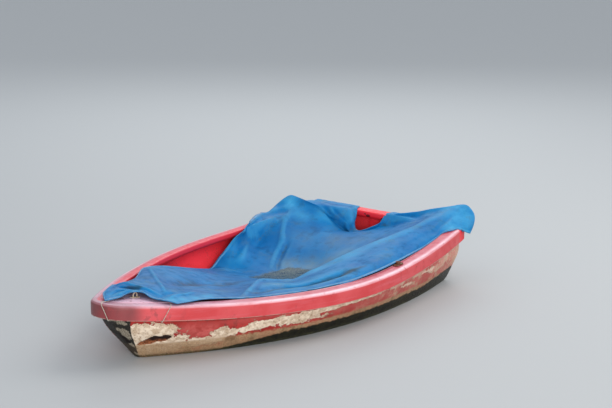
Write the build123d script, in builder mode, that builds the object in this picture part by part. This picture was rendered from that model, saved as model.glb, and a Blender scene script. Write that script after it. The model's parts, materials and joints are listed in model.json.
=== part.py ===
from build123d import *
import math
import os

# Small open rowing boat in glass-fibre moulding: a single-skin round-bilge hull with a
# blunt bow and a flat transom, a deep turned-down gunwale all the way round, three
# seats, bottom boards, and a tarpaulin that lies over it and sags amidships.
# Millimetres. X to the bow, Y to port, Z up. The origin is on the waterline, on the
# centreline, half way along the boat.

os.makedirs("parts", exist_ok=True)

# ---------------------------------------------------------------- driving sizes
LENGTH = 3000.0            # over the gunwale, bow to transom
HALF = LENGTH / 2
SHEER_MID = 312.0          # gunwale top above the waterline, amidships
SHEER_BOW = 418.0          # at the bow
SHEER_STERN = 401.0        # at the transom
SKIN = 6.0                 # hull moulding thickness
RIM_WIDTH = 92.0           # gunwale, outboard to inboard
RIM_SKIN = 6.0
RIM_EDGE_R = 22.0          # outer edge of the gunwale's top
RIM_CORNER_R = 36.0        # its corners at the transom, in plan
RIM_DEPTH = 98.0           # outboard flange
RIM_INNER_DEPTH = 42.0     # inboard flange
HULL_INSET = 36.0          # gunwale face to topside at the gunwale
GAP = 0.5                  # between pieces that lie against each other
TRANSOM_RAKE = 0.12        # run aft per unit of height

# Half outlines are chains of arcs that run on into each other. A chain starts at
# (distance aft of the bow, half breadth) with a heading in degrees off the centreline,
# and each arc is given by how far aft it ends and its heading there.
RIM = dict(start=(0, 0), heading=90.0,
           arcs=[(80, 33.9), (450, 28.8), (1200, 17.2), (2000, -4.3), (3000, -12.7)])

# Hull contours, each in a plane that may tilt fore and aft: height amidships, rise per
# unit forward, stem aft of the bow, then the chain that starts on the corner between
# the flattened nose and the side. The last arc ends on the transom.
HULL_LEVELS = [
    dict(z=-128, tilt=-0.022, stem=612, start=(620, 14), heading=1.9, arcs=[(1150, 1.2), (1550, 0.8), (2000, 0.0), (2900, -0.4)]),
    dict(z=-72, tilt=-0.012, stem=440, start=(450, 12), heading=27.2, arcs=[(700, 30.2), (1200, 19.5), (2000, 0.2), (2904, -15.1)]),
    dict(z=0, tilt=0.0, stem=318, start=(326, 30), heading=38.2, arcs=[(560, 34.5), (1200, 17.9), (2000, -0.3), (2920, -15.0)]),
    dict(z=84, tilt=-0.004, stem=250, start=(263, 57), heading=40.7, arcs=[(500, 35.3), (1200, 16.3), (2000, -1.8), (2935, -12.4)]),
    dict(z=240, tilt=0.0, stem=128, start=(149, 113), heading=39.1, arcs=[(450, 29.2), (1200, 17.3), (2000, -2.7), (2955, -12.4)]),
    dict(z=430, tilt=0.0, stem=38, start=(65, 125), heading=32.7, arcs=[(450, 25.7), (1200, 18.7), (2000, -3.5), (2978, -13.9)]),
]


def circle_through(a, b, c):
    """Centre and radius of the circle through three (x, z) points."""
    (x1, z1), (x2, z2), (x3, z3) = a, b, c
    d = 2 * (x1 * (z2 - z3) + x2 * (z3 - z1) + x3 * (z1 - z2))
    q1, q2, q3 = x1 * x1 + z1 * z1, x2 * x2 + z2 * z2, x3 * x3 + z3 * z3
    cx = (q1 * (z2 - z3) + q2 * (z3 - z1) + q3 * (z1 - z2)) / d
    cz = (q1 * (x3 - x2) + q2 * (x1 - x3) + q3 * (x2 - x1)) / d
    return cx, cz, math.hypot(x1 - cx, z1 - cz)


SHEER_CX, SHEER_CZ, SHEER_R = circle_through((-HALF, SHEER_STERN), (0, SHEER_MID), (HALF, SHEER_BOW))


def sheer(x):
    """Height of the gunwale top, one arc from bow to transom."""
    return SHEER_CZ - math.sqrt(SHEER_R ** 2 - (x - SHEER_CX) ** 2)


def transom_x(z):
    return -(HALF - 69) - TRANSOM_RAKE * z


def arc_mid(a, c, turn):
    """Mid point of the arc from a to c, both (aft, breadth), that turns inboard by turn."""
    length = math.hypot(c[0] - a[0], c[1] - a[1])
    rise = length / 2 * math.tan(turn / 4)
    return ((a[0] + c[0]) / 2 - (c[1] - a[1]) / length * rise,
            (a[1] + c[1]) / 2 + (c[0] - a[0]) / length * rise)


def chain(table, inset, end):
    """Knots and mid points of a chain moved inboard by inset and ending at end aft."""
    (s, b), t = table["start"], math.radians(table["heading"])
    knots, mids = [(s + inset * math.sin(t), b - inset * math.cos(t))], []
    for i, (s1, heading) in enumerate(table["arcs"]):
        t1 = math.radians(heading)
        b1 = b + (s1 - s) * math.tan((t + t1) / 2)
        knot = (s1 + inset * math.sin(t1), b1 - inset * math.cos(t1))
        if i == len(table["arcs"]) - 1:
            knot = (end, knot[1] + (end - knot[0]) * math.tan(t1))
        knots.append(knot)
        mids.append(arc_mid(knots[-2], knot, t - t1))
        s, b, t = s1, b1, t1
    return knots, mids


def rim_points(inset):
    """Knots and arc mid points of the gunwale outline moved inboard by inset."""
    knots, mids = chain(RIM, inset, LENGTH - inset)
    return [(HALF - s, b) for s, b in knots], [(HALF - s, b) for s, b in mids]


def half_outline(knots, mids, side):
    """Arcs from the stem aft to the transom corner, in the current line builder."""
    for i, m in enumerate(mids):
        a, c = knots[i], knots[i + 1]
        ThreePointArc((a[0], side * a[1]), (m[0], side * m[1]), (c[0], side * c[1]))


def rim_sketch_lines(inset):
    knots, mids = rim_points(inset)
    half_outline(knots, mids, 1)
    half_outline(knots, mids, -1)
    end = knots[-1]
    Line((end[0], end[1]), (end[0], -end[1]))


def level_outline(level, inset, lift):
    """Hull contour as (plane, knots, mids). inset moves it inboard, lift upward."""
    tilt = level["tilt"]
    plane = Plane(origin=(0, 0, level["z"] + lift), x_dir=(1, 0, tilt), z_dir=(-tilt, 0, 1))
    end = HALF - transom_x(level["z"] + lift + tilt * (-HALF)) - inset
    knots, mids = chain(level, inset, end)
    stem = (level["stem"] + inset, 0.0)
    nose = math.atan2(level["start"][1], level["start"][0] - level["stem"])
    side = math.radians(level["heading"])
    lean = (2 * nose - math.pi / 2 + side) / 2
    reach = inset / math.cos(lean - side)
    knots[0] = (level["start"][0] + reach * math.sin(lean),
                max(level["start"][1] - reach * math.cos(lean), 3.0))
    face = math.atan2(knots[0][1], knots[0][0] - stem[0])
    mids = [arc_mid(stem, knots[0], math.pi - 2 * face)] + mids
    knots = [stem] + knots
    return plane, [(HALF - s, b) for s, b in knots], [(HALF - s, b) for s, b in mids]


def hull_section(level, inset=0.0, lift=0.0):
    plane, knots, mids = level_outline(level, inset, lift)
    with BuildSketch(plane) as sk:
        with BuildLine():
            half_outline(knots, mids, 1)
            half_outline(knots, mids, -1)
            Line((knots[-1][0], knots[-1][1]), (knots[-1][0], -knots[-1][1]))
        make_face()
    return sk.sketch


def hull_volume(inset, floor_lift):
    """Solid bounded by the hull contours, moved inboard by inset."""
    with BuildPart() as vol:
        for i, level in enumerate(HULL_LEVELS):
            lift = floor_lift if i == 0 else (floor_lift if i == 1 else 0)
            add(hull_section(level, inset, lift))
        loft(ruled=True)
    return vol.part


def under_sheer(drop, low=-400.0, side=1000.0):
    """Everything below the sheer line moved down by drop, between low and it."""
    with BuildPart() as body:
        with BuildSketch(Plane.XZ.offset(-side)) as sk:
            with BuildLine():
                ThreePointArc((-1700, sheer(-1700) - drop), (0, SHEER_MID - drop), (1700, sheer(1700) - drop))
                Line((1700, sheer(1700) - drop), (1700, low))
                Line((1700, low), (-1700, low))
                Line((-1700, low), (-1700, sheer(-1700) - drop))
            make_face()
        extrude(amount=2 * side)
    return body.part


def rim_prism(inset, low=100.0, high=520.0):
    with BuildPart() as prism:
        with BuildSketch(Plane.XY.offset(low)):
            with BuildLine():
                rim_sketch_lines(inset)
            make_face()
        extrude(amount=high - low)
    return prism.part


OUTER = hull_volume(0.0, 0.0)
OUTER_CLEAR = hull_volume(-GAP, -GAP)
INNER = hull_volume(SKIN, SKIN)
SEAT_FIT = hull_volume(SKIN + GAP, SKIN + GAP)

# ---------------------------------------------------------------- hull
with BuildPart() as hull_shell:
    add(OUTER)
    add(INNER, mode=Mode.SUBTRACT)
    add(under_sheer(RIM_SKIN + GAP), mode=Mode.INTERSECT)

# ---------------------------------------------------------------- gunwale
ROWLOCK_X = -570.0
ROWLOCK_Y = 718.0
ROWLOCK_BORE_R = 6.5
RIM_HOLE_R = 9.0


def rim_body(inset):
    """Everything inside the gunwale's outer face moved in by inset, edges rounded."""
    with BuildPart() as body:
        add(rim_prism(inset))
        add(under_sheer(inset), mode=Mode.INTERSECT)
    solid = body.part.solids()[0]
    corners = [e for e in solid.edges() if e.geom_type == GeomType.LINE and e.center().X < -1400
               and abs(e.tangent_at(0).Z) > 0.99]
    solid = solid.fillet(RIM_CORNER_R - inset, corners)
    top = max(solid.faces(), key=lambda f: f.area if f.normal_at(f.center()).Z > 0.9 else 0)
    return solid.fillet(RIM_EDGE_R - inset, top.outer_wire().edges())


def rim_band(outer, inner, top, bottom):
    """Ring between two insets and between two drops below the sheer."""
    with BuildPart() as band:
        add(rim_prism(outer))
        add(rim_prism(inner), mode=Mode.SUBTRACT)
        add(under_sheer(top), mode=Mode.INTERSECT)
        add(under_sheer(bottom, low=-500), mode=Mode.SUBTRACT)
    return band.part


def on_sheer(x, y, lift=0.0):
    """Plane lying on the gunwale top at x, y."""
    slope = (x - SHEER_CX) / (SHEER_CZ - sheer(x))
    n = math.hypot(1, slope)
    return Plane(origin=(x - slope / n * lift, y, sheer(x) + lift / n), x_dir=(1, 0, slope), z_dir=(-slope, 0, 1))


RIM_OUTSIDE = rim_body(0.0)
RIM_INSIDE = rim_body(RIM_SKIN)
with BuildPart() as gunwale:
    add(RIM_OUTSIDE)
    add(RIM_INSIDE, mode=Mode.SUBTRACT)
    add(rim_prism(RIM_WIDTH, low=60), mode=Mode.SUBTRACT)
    add(under_sheer(RIM_DEPTH, low=-500), mode=Mode.SUBTRACT)
    add(rim_band(RIM_WIDTH - RIM_SKIN, RIM_WIDTH, 3, RIM_INNER_DEPTH))
    with BuildSketch(on_sheer(ROWLOCK_X, ROWLOCK_Y, 5)):
        Circle(RIM_HOLE_R)
    extrude(amount=-20, mode=Mode.SUBTRACT)

# ---------------------------------------------------------------- bow deck
DECK_AFT = 1040.0
DECK_LIP = 40.0


def deck_under():
    with BuildPart() as cut:
        with BuildSketch(Plane.XY.offset(40)):
            with Locations((DECK_AFT + SKIN + 500, 0)):
                Rectangle(1000, 1400)
        extrude(amount=480)
        add(under_sheer(SKIN), mode=Mode.INTERSECT)
    return cut.part


with BuildPart() as foredeck:
    add(rim_prism(RIM_WIDTH + GAP))
    with BuildSketch(Plane.XY.offset(50)):
        with Locations((DECK_AFT + 500, 0)):
            Rectangle(1000, 1400)
    extrude(amount=500, mode=Mode.INTERSECT)
    add(under_sheer(0.0), mode=Mode.INTERSECT)
    add(under_sheer(DECK_LIP, low=-500), mode=Mode.SUBTRACT)
    add(deck_under(), mode=Mode.SUBTRACT)

# ---------------------------------------------------------------- seats
BOW_SEAT_X, BOW_SEAT_Z = 640.0, 190.0
THWART_X0, THWART_X1, THWART_Z, THWART_LIP = -270.0, -20.0, 124.0, 42.0
BENCH_X, BENCH_Z = -1010.0, 190.0


def block(x0, x1, z0, z1, half_width=900.0):
    with BuildPart() as blk:
        with BuildSketch(Plane.XY.offset(z0)):
            with Locations(((x0 + x1) / 2, 0)):
                Rectangle(x1 - x0, 2 * half_width)
        extrude(amount=z1 - z0)
    return blk.part


with BuildPart() as bow_seat:
    add(block(BOW_SEAT_X, 1450, -200, BOW_SEAT_Z))
    add(SEAT_FIT, mode=Mode.INTERSECT)
    add(block(BOW_SEAT_X + SKIN, 1500, -220, BOW_SEAT_Z - SKIN), mode=Mode.SUBTRACT)

with BuildPart() as centre_thwart:
    add(block(THWART_X0, THWART_X1, THWART_Z - THWART_LIP, THWART_Z))
    add(SEAT_FIT, mode=Mode.INTERSECT)
    add(block(THWART_X0 + SKIN, THWART_X1 - SKIN, THWART_Z - 90, THWART_Z - SKIN), mode=Mode.SUBTRACT)

with BuildPart() as stern_bench:
    add(block(-1500, BENCH_X, -200, BENCH_Z))
    add(SEAT_FIT, mode=Mode.INTERSECT)
    add(block(-1600, BENCH_X - SKIN, -220, BENCH_Z - SKIN), mode=Mode.SUBTRACT)

# ---------------------------------------------------------------- bottom boards
BOARD_TOP, BOARD_T, BOARD_W = -40.0, 12.0, 104.0
BOARDS = [(0, 600), (130, 560), (-130, 560), (260, 330), (-260, 330)]   # y, forward end
BOARDS_AFT = -985.0
BEARERS = [(-860, 330), (-420, 350), (40, 350), (480, 200)]             # x, half length
with BuildPart() as bottom_boards:
    for y, x1 in BOARDS:
        with BuildSketch(Plane.XY.offset(BOARD_TOP - BOARD_T)):
            with Locations(((BOARDS_AFT + x1) / 2, y)):
                Rectangle(x1 - BOARDS_AFT, BOARD_W)
        extrude(amount=BOARD_T)
    add(SEAT_FIT, mode=Mode.INTERSECT)

with BuildPart() as board_bearers:
    for x, half in BEARERS:
        add(block(x - 22, x + 22, -200, BOARD_TOP - BOARD_T, half))
    add(SEAT_FIT, mode=Mode.INTERSECT)

# ---------------------------------------------------------------- keel, skeg, bilge runners
KEEL_TILT = HULL_LEVELS[0]["tilt"]
KEEL_Z = HULL_LEVELS[0]["z"]
KEEL_W, KEEL_H = 36.0, 24.0
SKEG_W, SKEG_DEPTH = 22.0, 70.0
keel_plane = Plane(origin=(0, 0, KEEL_Z - GAP), x_dir=(1, 0, KEEL_TILT), z_dir=(-KEEL_TILT, 0, 1))
with BuildPart() as keel:
    with BuildSketch(keel_plane):
        with Locations((-320, 0)):
            Rectangle(2120, KEEL_W)
    extrude(amount=-KEEL_H)
    with BuildSketch(Plane.XZ.offset(-SKEG_W / 2)):
        with BuildLine():
            low = KEEL_Z - GAP - KEEL_H
            Polyline((-1376, low + 1376 * -KEEL_TILT + 4), (-1376, low + 1376 * -KEEL_TILT - SKEG_DEPTH),
                     (-1180, low + 1180 * -KEEL_TILT - SKEG_DEPTH), (-420, low + 420 * -KEEL_TILT),
                     (-420, low + 420 * -KEEL_TILT + 4), close=True)
        make_face()
    extrude(amount=SKEG_W)

RUNNER_Y, RUNNER_W = 300.0, 28.0
RUNNER_X0, RUNNER_X1 = -1150.0, 350.0
with BuildPart() as bilge_runners:
    with BuildSketch(Plane.XZ.offset(-RUNNER_W / 2)):
        with BuildLine():
            Polyline((RUNNER_X0, -98), (RUNNER_X1 - 60, -119), (RUNNER_X1, -70), (RUNNER_X0, -50), close=True)
        make_face()
    extrude(amount=RUNNER_W)
    runner = bilge_runners.part
with BuildPart() as bilge_runners:
    for side in (1, -1):
        add(Pos(0, side * RUNNER_Y, 0) * runner)
    add(OUTER_CLEAR, mode=Mode.SUBTRACT)

# ---------------------------------------------------------------- transom fittings


def on_transom(y, z, out):
    return Plane(origin=(transom_x(z) - out, y, z), x_dir=(0, 1, 0), z_dir=(-1, 0, -TRANSOM_RAKE))


PAD_W, PAD_H, PAD_T = 300.0, 160.0, 24.0
INNER_PAD_W, INNER_PAD_H, INNER_PAD_T = 280.0, 140.0, 18.0
with BuildPart() as transom_pad_outer:
    with BuildSketch(on_transom(0, 214, GAP)):
        RectangleRounded(PAD_W, PAD_H, 12)
    extrude(amount=PAD_T)

with BuildPart() as transom_pad_inner:
    with BuildSketch(on_transom(0, 275, -SKIN - GAP)):
        RectangleRounded(INNER_PAD_W, INNER_PAD_H, 12)
    extrude(amount=-INNER_PAD_T)

EYE_RING_R, EYE_ROD_R = 17.0, 4.0
EYE_X, EYE_Y = 1190.0, 0.0       # bow eye


def ring_eye(plane, base_l, base_w, base_t):
    """Base plate with a half ring standing on it."""
    with BuildPart() as eye:
        with BuildSketch(Plane.XY):
            RectangleRounded(base_l, base_w, base_w * 0.3)
        extrude(amount=base_t)
        with BuildSketch(Plane.XY.offset(base_t - 0.5)):
            with Locations((EYE_RING_R, 0), (-EYE_RING_R, 0)):
                Circle(EYE_ROD_R)
        extrude(amount=8.5)
        with BuildSketch(Plane(origin=(EYE_RING_R, 0, base_t + 8), z_dir=(0, 0, 1))):
            Circle(EYE_ROD_R)
        revolve(axis=Axis((0, 0, base_t + 8), (0, 1, 0)), revolution_arc=-180)
    return plane.location * eye.part


with BuildPart() as mooring_eye:
    add(ring_eye(on_sheer(EYE_X, EYE_Y, GAP), 70, 34, 4))

with BuildPart() as stern_eyes:
    for y in (330, -330):
        add(ring_eye(on_transom(y, 215, GAP), 70, 30, 4))

with BuildPart() as drain_plug:
    with BuildSketch(on_transom(0, 22, GAP)):
        Circle(17)
    extrude(amount=5)
    with BuildSketch(on_transom(0, 22, GAP + 4.9)):
        RegularPolygon(10, 6)
    extrude(amount=9)

# ---------------------------------------------------------------- rowlock socket, port side only
SOCKET_L, SOCKET_W, SOCKET_T = 86.0, 38.0, 5.0
BOSS_R, BOSS_H = 15.0, 16.0
spot = on_sheer(ROWLOCK_X, ROWLOCK_Y, 0.3)
with BuildPart() as rowlock_socket:
    with BuildSketch(spot):
        SlotOverall(SOCKET_L, SOCKET_W)
    extrude(amount=SOCKET_T)
    with BuildSketch(spot.offset(SOCKET_T - 0.5)):
        Circle(BOSS_R)
    extrude(amount=BOSS_H + 0.5)
    with BuildSketch(spot.offset(SOCKET_T + BOSS_H + 1)):
        Circle(ROWLOCK_BORE_R)
    extrude(amount=-(SOCKET_T + BOSS_H + 3), mode=Mode.SUBTRACT)

# ---------------------------------------------------------------- tarpaulin
# Sheet sections from the bow aft: x, then (y, height) from the port hem to starboard.
SHEET_T = 7.0
SHEET = [
    (1455, [(12, 424.5), (7, 425), (2, 425.3), (-2, 425.5), (-7, 425.5), (-12, 425.3), (-16, 425), (-21, 424.7), (-26, 424.5)]),
    (1300, [(48, 423), (24, 426), (0, 428), (-24, 429.4), (-48, 430), (-72, 429.6), (-96, 428), (-120, 425), (-144, 419)]),
    (1190, [(265, 395), (208, 405), (151, 413), (94, 419), (38, 424), (-19, 429), (-76, 431), (-133, 430), (-190, 413)]),
    (1110, [(319, 384), (252, 392), (186, 401), (120, 408), (53, 418), (-13, 424), (-79, 429), (-146, 431), (-212, 409)]),
    (1030, [(327, 377), (256, 384), (186, 391.6), (116, 398), (46, 408), (-25, 413), (-95, 422), (-165, 423), (-236, 398)]),
    (900, [(334, 368), (257, 371), (181, 375), (105, 378), (29, 386), (-48, 395), (-124, 403), (-200, 404), (-276, 380)]),
    (760, [(368, 348), (276, 349.4), (185, 350), (93, 350), (2, 355), (-89, 368), (-181, 383), (-272, 385), (-364, 368)]),
    (640, [(420, 330), (312, 323), (204, 322), (97, 322), (-11, 325), (-119, 337), (-227, 358), (-335, 368), (-443, 359)]),
    (470, [(481, 319), (358, 310), (235, 294), (112, 279), (-11, 280), (-134, 285), (-257, 311), (-380, 333), (-503, 332)]),
    (300, [(537, 314), (404, 310), (272, 303), (140, 270), (8, 244), (-125, 243), (-257, 253), (-389, 283), (-521, 290)]),
    (140, [(581, 314), (441, 299), (300, 286), (160, 274), (19, 236), (-121, 214), (-262, 213), (-402, 237), (-543, 244)]),
    (-20, [(628, 316), (479, 311), (330, 267), (181, 241), (32, 226), (-116, 197), (-265, 185), (-414, 193), (-563, 199)]),
    (-270, [(683, 326), (519, 337), (355, 299), (191, 226), (27, 168), (-137, 144), (-301, 139), (-465, 139), (-629, 147)]),
    (-500, [(687, 334), (520, 362), (353, 329), (186, 233), (19, 143), (-148, 121), (-360, 122), (-560, 190), (-649, 250)]),
    (-640, [(675, 341), (507, 373), (340, 331), (172, 241), (5, 158), (-160, 130), (-390, 160), (-590, 266), (-646, 322)]),
    (-655, [(674, 342), (506, 374), (339, 331), (171, 242), (4, 159), (-162, 132), (-395, 166), (-640, 354), (-678, 358)]),
    (-740, [(666, 348), (494, 383), (326, 333), (159, 249), (-9, 172), (-200, 146), (-420, 200), (-640, 352), (-700, 358)]),
    (-980, [(604, 366), (412, 381), (220, 318), (28, 256), (-164, 244), (-356, 261), (-480, 320), (-612, 366), (-753, 372)]),
    (-1110, [(577, 376), (391, 382), (206, 329), (21, 280), (-164, 277), (-350, 297), (-535, 364), (-720, 381), (-773, 329)]),
    (-1220, [(589, 381), (405, 394), (220, 344), (36, 298), (-148, 284), (-332, 321), (-517, 385), (-701, 443), (-773, 324)]),
    (-1310, [(626, 390), (439, 414), (252, 369), (65, 313), (-123, 315), (-310, 403), (-497, 421), (-684, 407), (-765, 331)]),
    (-1370, [(646, 397), (460, 428), (272, 385), (83, 332), (-105, 340), (-293, 408), (-482, 407), (-676, 398), (-752, 336)]),
    (-1384, [(664, 396), (640, 404), (450, 431), (235, 402), (20, 400), (-200, 401), (-430, 406), (-668, 400), (-750, 336)]),
    (-1440, [(673, 363), (657, 405), (438, 437), (219, 405), (0, 406), (-219, 406.5), (-438, 406), (-657, 405), (-735, 341)]),
    (-1490, [(690, 371), (652, 415), (431, 448), (215, 431), (0, 412), (-215, 411), (-431, 411.5), (-652, 411), (-705, 345)]),
    (-1512, [(690, 380), (655, 420), (440, 458), (300, 440), (150, 414), (-100, 410), (-350, 409), (-600, 407), (-705, 348)]),
    (-1560, [(672, 372), (620, 440), (520, 478), (400, 440), (230, 395), (60, 345), (-250, 346), (-500, 332), (-660, 333)]),
    (-1612, [(640, 380), (600, 430), (540, 470), (480, 455), (420, 410), (380, 381), (350, 366), (330, 358), (310, 352)]),
]
NOTCH_X, NOTCH_Y0, NOTCH_Y1 = -1386.0, -215.0, 15.0     # where the sheet has slid off the transom
with BuildPart() as tarpaulin:
    for x, top in SHEET:
        with BuildSketch(Plane(origin=(x, 0, 0), x_dir=(0, 1, 0), z_dir=(1, 0, 0))):
            with BuildLine():
                Polyline(*top, *[(y, z - SHEET_T) for y, z in reversed(top)], close=True)
            make_face()
    loft(ruled=True)
    with BuildSketch(Plane.XY.offset(200)):
        with Locations((NOTCH_X - 200, (NOTCH_Y0 + NOTCH_Y1) / 2)):
            Rectangle(400, NOTCH_Y1 - NOTCH_Y0)
    extrude(amount=400, mode=Mode.SUBTRACT)

# ---------------------------------------------------------------- cords
# Two thin cords from the forward hem over the gunwale and up behind its lip.
CORD_R = 2.0
CORDS = [
    dict(bends=(20, 60, 4.5, 4.5), route=[(1425, 4, 411.3), (1504, 5, 421.3), (1501.5, 33, 371), (1495, 58, 314), (1481, 54, 313.5), (1478, 53, 345)]),
    dict(bends=(20, 4.5, 4.5), route=[(1168, 262, 382), (1197, 299, 384), (1250, 268, 282), (1241, 253, 281.5), (1237, 246, 315)]),
]
with BuildPart() as tie_cords:
    for cord in CORDS:
        with BuildLine() as run:
            FilletPolyline(*cord["route"], radius=cord["bends"])
        with BuildSketch(Plane(origin=run.line @ 0, z_dir=run.line % 0)):
            Circle(CORD_R)
        sweep(path=run.line)

# ---------------------------------------------------------------- files
PIECES = {
    "hull_shell": hull_shell, "gunwale": gunwale, "foredeck": foredeck, "bow_seat": bow_seat,
    "centre_thwart": centre_thwart, "stern_bench": stern_bench, "bottom_boards": bottom_boards,
    "board_bearers": board_bearers, "keel": keel, "bilge_runners": bilge_runners,
    "transom_pad_outer": transom_pad_outer, "transom_pad_inner": transom_pad_inner,
    "mooring_eye": mooring_eye, "stern_eyes": stern_eyes, "drain_plug": drain_plug,
    "rowlock_socket": rowlock_socket, "tarpaulin": tarpaulin, "tie_cords": tie_cords,
}
for name, piece in PIECES.items():
    piece.part.label = name
    export_step(piece.part, f"parts/{name}.step")
    box = piece.part.bounding_box()
    print(f"{name:18s} {len(piece.part.solids())} solids {piece.part.volume / 1e6:8.3f} l  "
          f"x {box.min.X:.0f}..{box.max.X:.0f} y {box.min.Y:.0f}..{box.max.Y:.0f} z {box.min.Z:.0f}..{box.max.Z:.0f}")
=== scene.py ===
import bpy
import json
import math
import random
import numpy as np
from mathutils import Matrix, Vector

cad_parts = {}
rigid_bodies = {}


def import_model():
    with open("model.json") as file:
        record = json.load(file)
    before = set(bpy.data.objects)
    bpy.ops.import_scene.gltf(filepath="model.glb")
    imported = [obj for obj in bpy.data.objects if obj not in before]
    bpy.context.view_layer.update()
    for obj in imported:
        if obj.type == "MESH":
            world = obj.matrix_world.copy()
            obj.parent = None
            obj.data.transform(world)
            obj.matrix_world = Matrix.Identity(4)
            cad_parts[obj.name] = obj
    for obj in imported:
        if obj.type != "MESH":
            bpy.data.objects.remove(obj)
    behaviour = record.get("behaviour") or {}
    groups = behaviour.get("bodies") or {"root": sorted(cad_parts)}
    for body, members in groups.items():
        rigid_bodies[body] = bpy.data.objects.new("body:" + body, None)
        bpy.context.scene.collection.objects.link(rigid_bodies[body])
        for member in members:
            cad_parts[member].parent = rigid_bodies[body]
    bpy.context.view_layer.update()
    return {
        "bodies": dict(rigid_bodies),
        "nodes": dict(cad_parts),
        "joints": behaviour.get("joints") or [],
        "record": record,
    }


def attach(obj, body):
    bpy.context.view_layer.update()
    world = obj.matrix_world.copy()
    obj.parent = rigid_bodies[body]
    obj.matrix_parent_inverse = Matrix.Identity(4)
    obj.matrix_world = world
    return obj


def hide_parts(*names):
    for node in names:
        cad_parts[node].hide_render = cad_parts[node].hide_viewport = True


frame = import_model()
random.seed(7)
rng = np.random.default_rng(7)

# ------------------------------------------------------------------ lines of the boat (metres)
HALF = 1.5
SKIN = 0.006
RIM = dict(start=(0, 0), heading=90.0,
           arcs=[(0.080, 33.9), (0.450, 28.8), (1.200, 17.2), (2.000, -4.3), (3.000, -12.7)])
LEVELS = [
    dict(z=-0.128, tilt=-0.022, stem=0.612, start=(0.620, 0.014), heading=1.9, arcs=[(1.150, 1.2), (1.550, 0.8), (2.000, 0.0), (2.900, -0.4)]),
    dict(z=-0.072, tilt=-0.012, stem=0.440, start=(0.450, 0.012), heading=27.2, arcs=[(0.700, 30.2), (1.200, 19.5), (2.000, 0.2), (2.904, -15.1)]),
    dict(z=0.000, tilt=0.0, stem=0.318, start=(0.326, 0.030), heading=38.2, arcs=[(0.560, 34.5), (1.200, 17.9), (2.000, -0.3), (2.920, -15.0)]),
    dict(z=0.084, tilt=-0.004, stem=0.250, start=(0.263, 0.057), heading=40.7, arcs=[(0.500, 35.3), (1.200, 16.3), (2.000, -1.8), (2.935, -12.4)]),
    dict(z=0.240, tilt=0.0, stem=0.128, start=(0.149, 0.113), heading=39.1, arcs=[(0.450, 29.2), (1.200, 17.3), (2.000, -2.7), (2.955, -12.4)]),
    dict(z=0.430, tilt=0.0, stem=0.038, start=(0.065, 0.125), heading=32.7, arcs=[(0.450, 25.7), (1.200, 18.7), (2.000, -3.5), (2.978, -13.9)]),
]
CHINE = 3                      # the level with a real corner in it


def circle_through(a, b, c):
    (x1, z1), (x2, z2), (x3, z3) = a, b, c
    d = 2 * (x1 * (z2 - z3) + x2 * (z3 - z1) + x3 * (z1 - z2))
    q1, q2, q3 = x1 * x1 + z1 * z1, x2 * x2 + z2 * z2, x3 * x3 + z3 * z3
    cx = (q1 * (z2 - z3) + q2 * (z3 - z1) + q3 * (z1 - z2)) / d
    cz = (q1 * (x3 - x2) + q2 * (x1 - x3) + q3 * (x2 - x1)) / d
    return cx, cz, math.hypot(x1 - cx, z1 - cz)


SHEER_CX, SHEER_CZ, SHEER_R = circle_through((-HALF, 0.401), (0, 0.312), (HALF, 0.418))


def sheer(x):
    return SHEER_CZ - np.sqrt(SHEER_R ** 2 - (np.asarray(x) - SHEER_CX) ** 2)


def transom_x(z):
    return -(HALF - 0.069) - 0.12 * z


def arc_points(s, b, t, s1, t1, n):
    """n points along an arc from (s, b) with heading t that ends at s1 with heading t1."""
    b1 = b + (s1 - s) * math.tan((t + t1) / 2)
    chord = math.hypot(s1 - s, b1 - b)
    turn = t - t1
    out = []
    for k in range(n + 1):
        f = k / n
        if abs(turn) < 1e-6:
            out.append((s + (s1 - s) * f, b + (b1 - b) * f, t))
            continue
        r = chord / 2 / math.sin(turn / 2)
        h = t - turn * f
        out.append((s + r * (math.sin(t) - math.sin(h)), b + r * (math.cos(h) - math.cos(t)), h))
    return out, (s1, b1, t1)


def outline(table, inset, counts):
    """Points (aft, breadth, heading) along a chain moved inboard by inset."""
    (s, b), t = table["start"], math.radians(table["heading"])
    out = []
    for (s1, heading), n in zip(table["arcs"], counts):
        pts, (s, b, t) = arc_points(s, b, t, s1, math.radians(heading), n)
        out += pts if not out else pts[1:]
    return [(p[0] + inset * math.sin(p[2]), p[1] - inset * math.cos(p[2]), p[2]) for p in out]


def bezier(a, m, c, n):
    return [((1 - f) ** 2 * a[0] + 2 * f * (1 - f) * m[0] + f * f * c[0],
             (1 - f) ** 2 * a[1] + 2 * f * (1 - f) * m[1] + f * f * c[1]) for f in [k / n for k in range(n + 1)]]


def spaced(pts, at):
    """Points of a polyline at the given fractions of its length."""
    p = np.array([(q[0], q[1]) for q in pts])
    d = np.concatenate([[0], np.cumsum(np.hypot(*np.diff(p, axis=0).T))])
    t = np.array(at) * d[-1]
    return np.stack([np.interp(t, d, p[:, 0]), np.interp(t, d, p[:, 1])], axis=1), d[-1]


SIDE_AT = np.concatenate([np.linspace(0, 0.24, 56)[:-1], np.linspace(0.24, 1, 70)])
NOSE_N, TURN_N, STERN_N = 8, 6, 14


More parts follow.
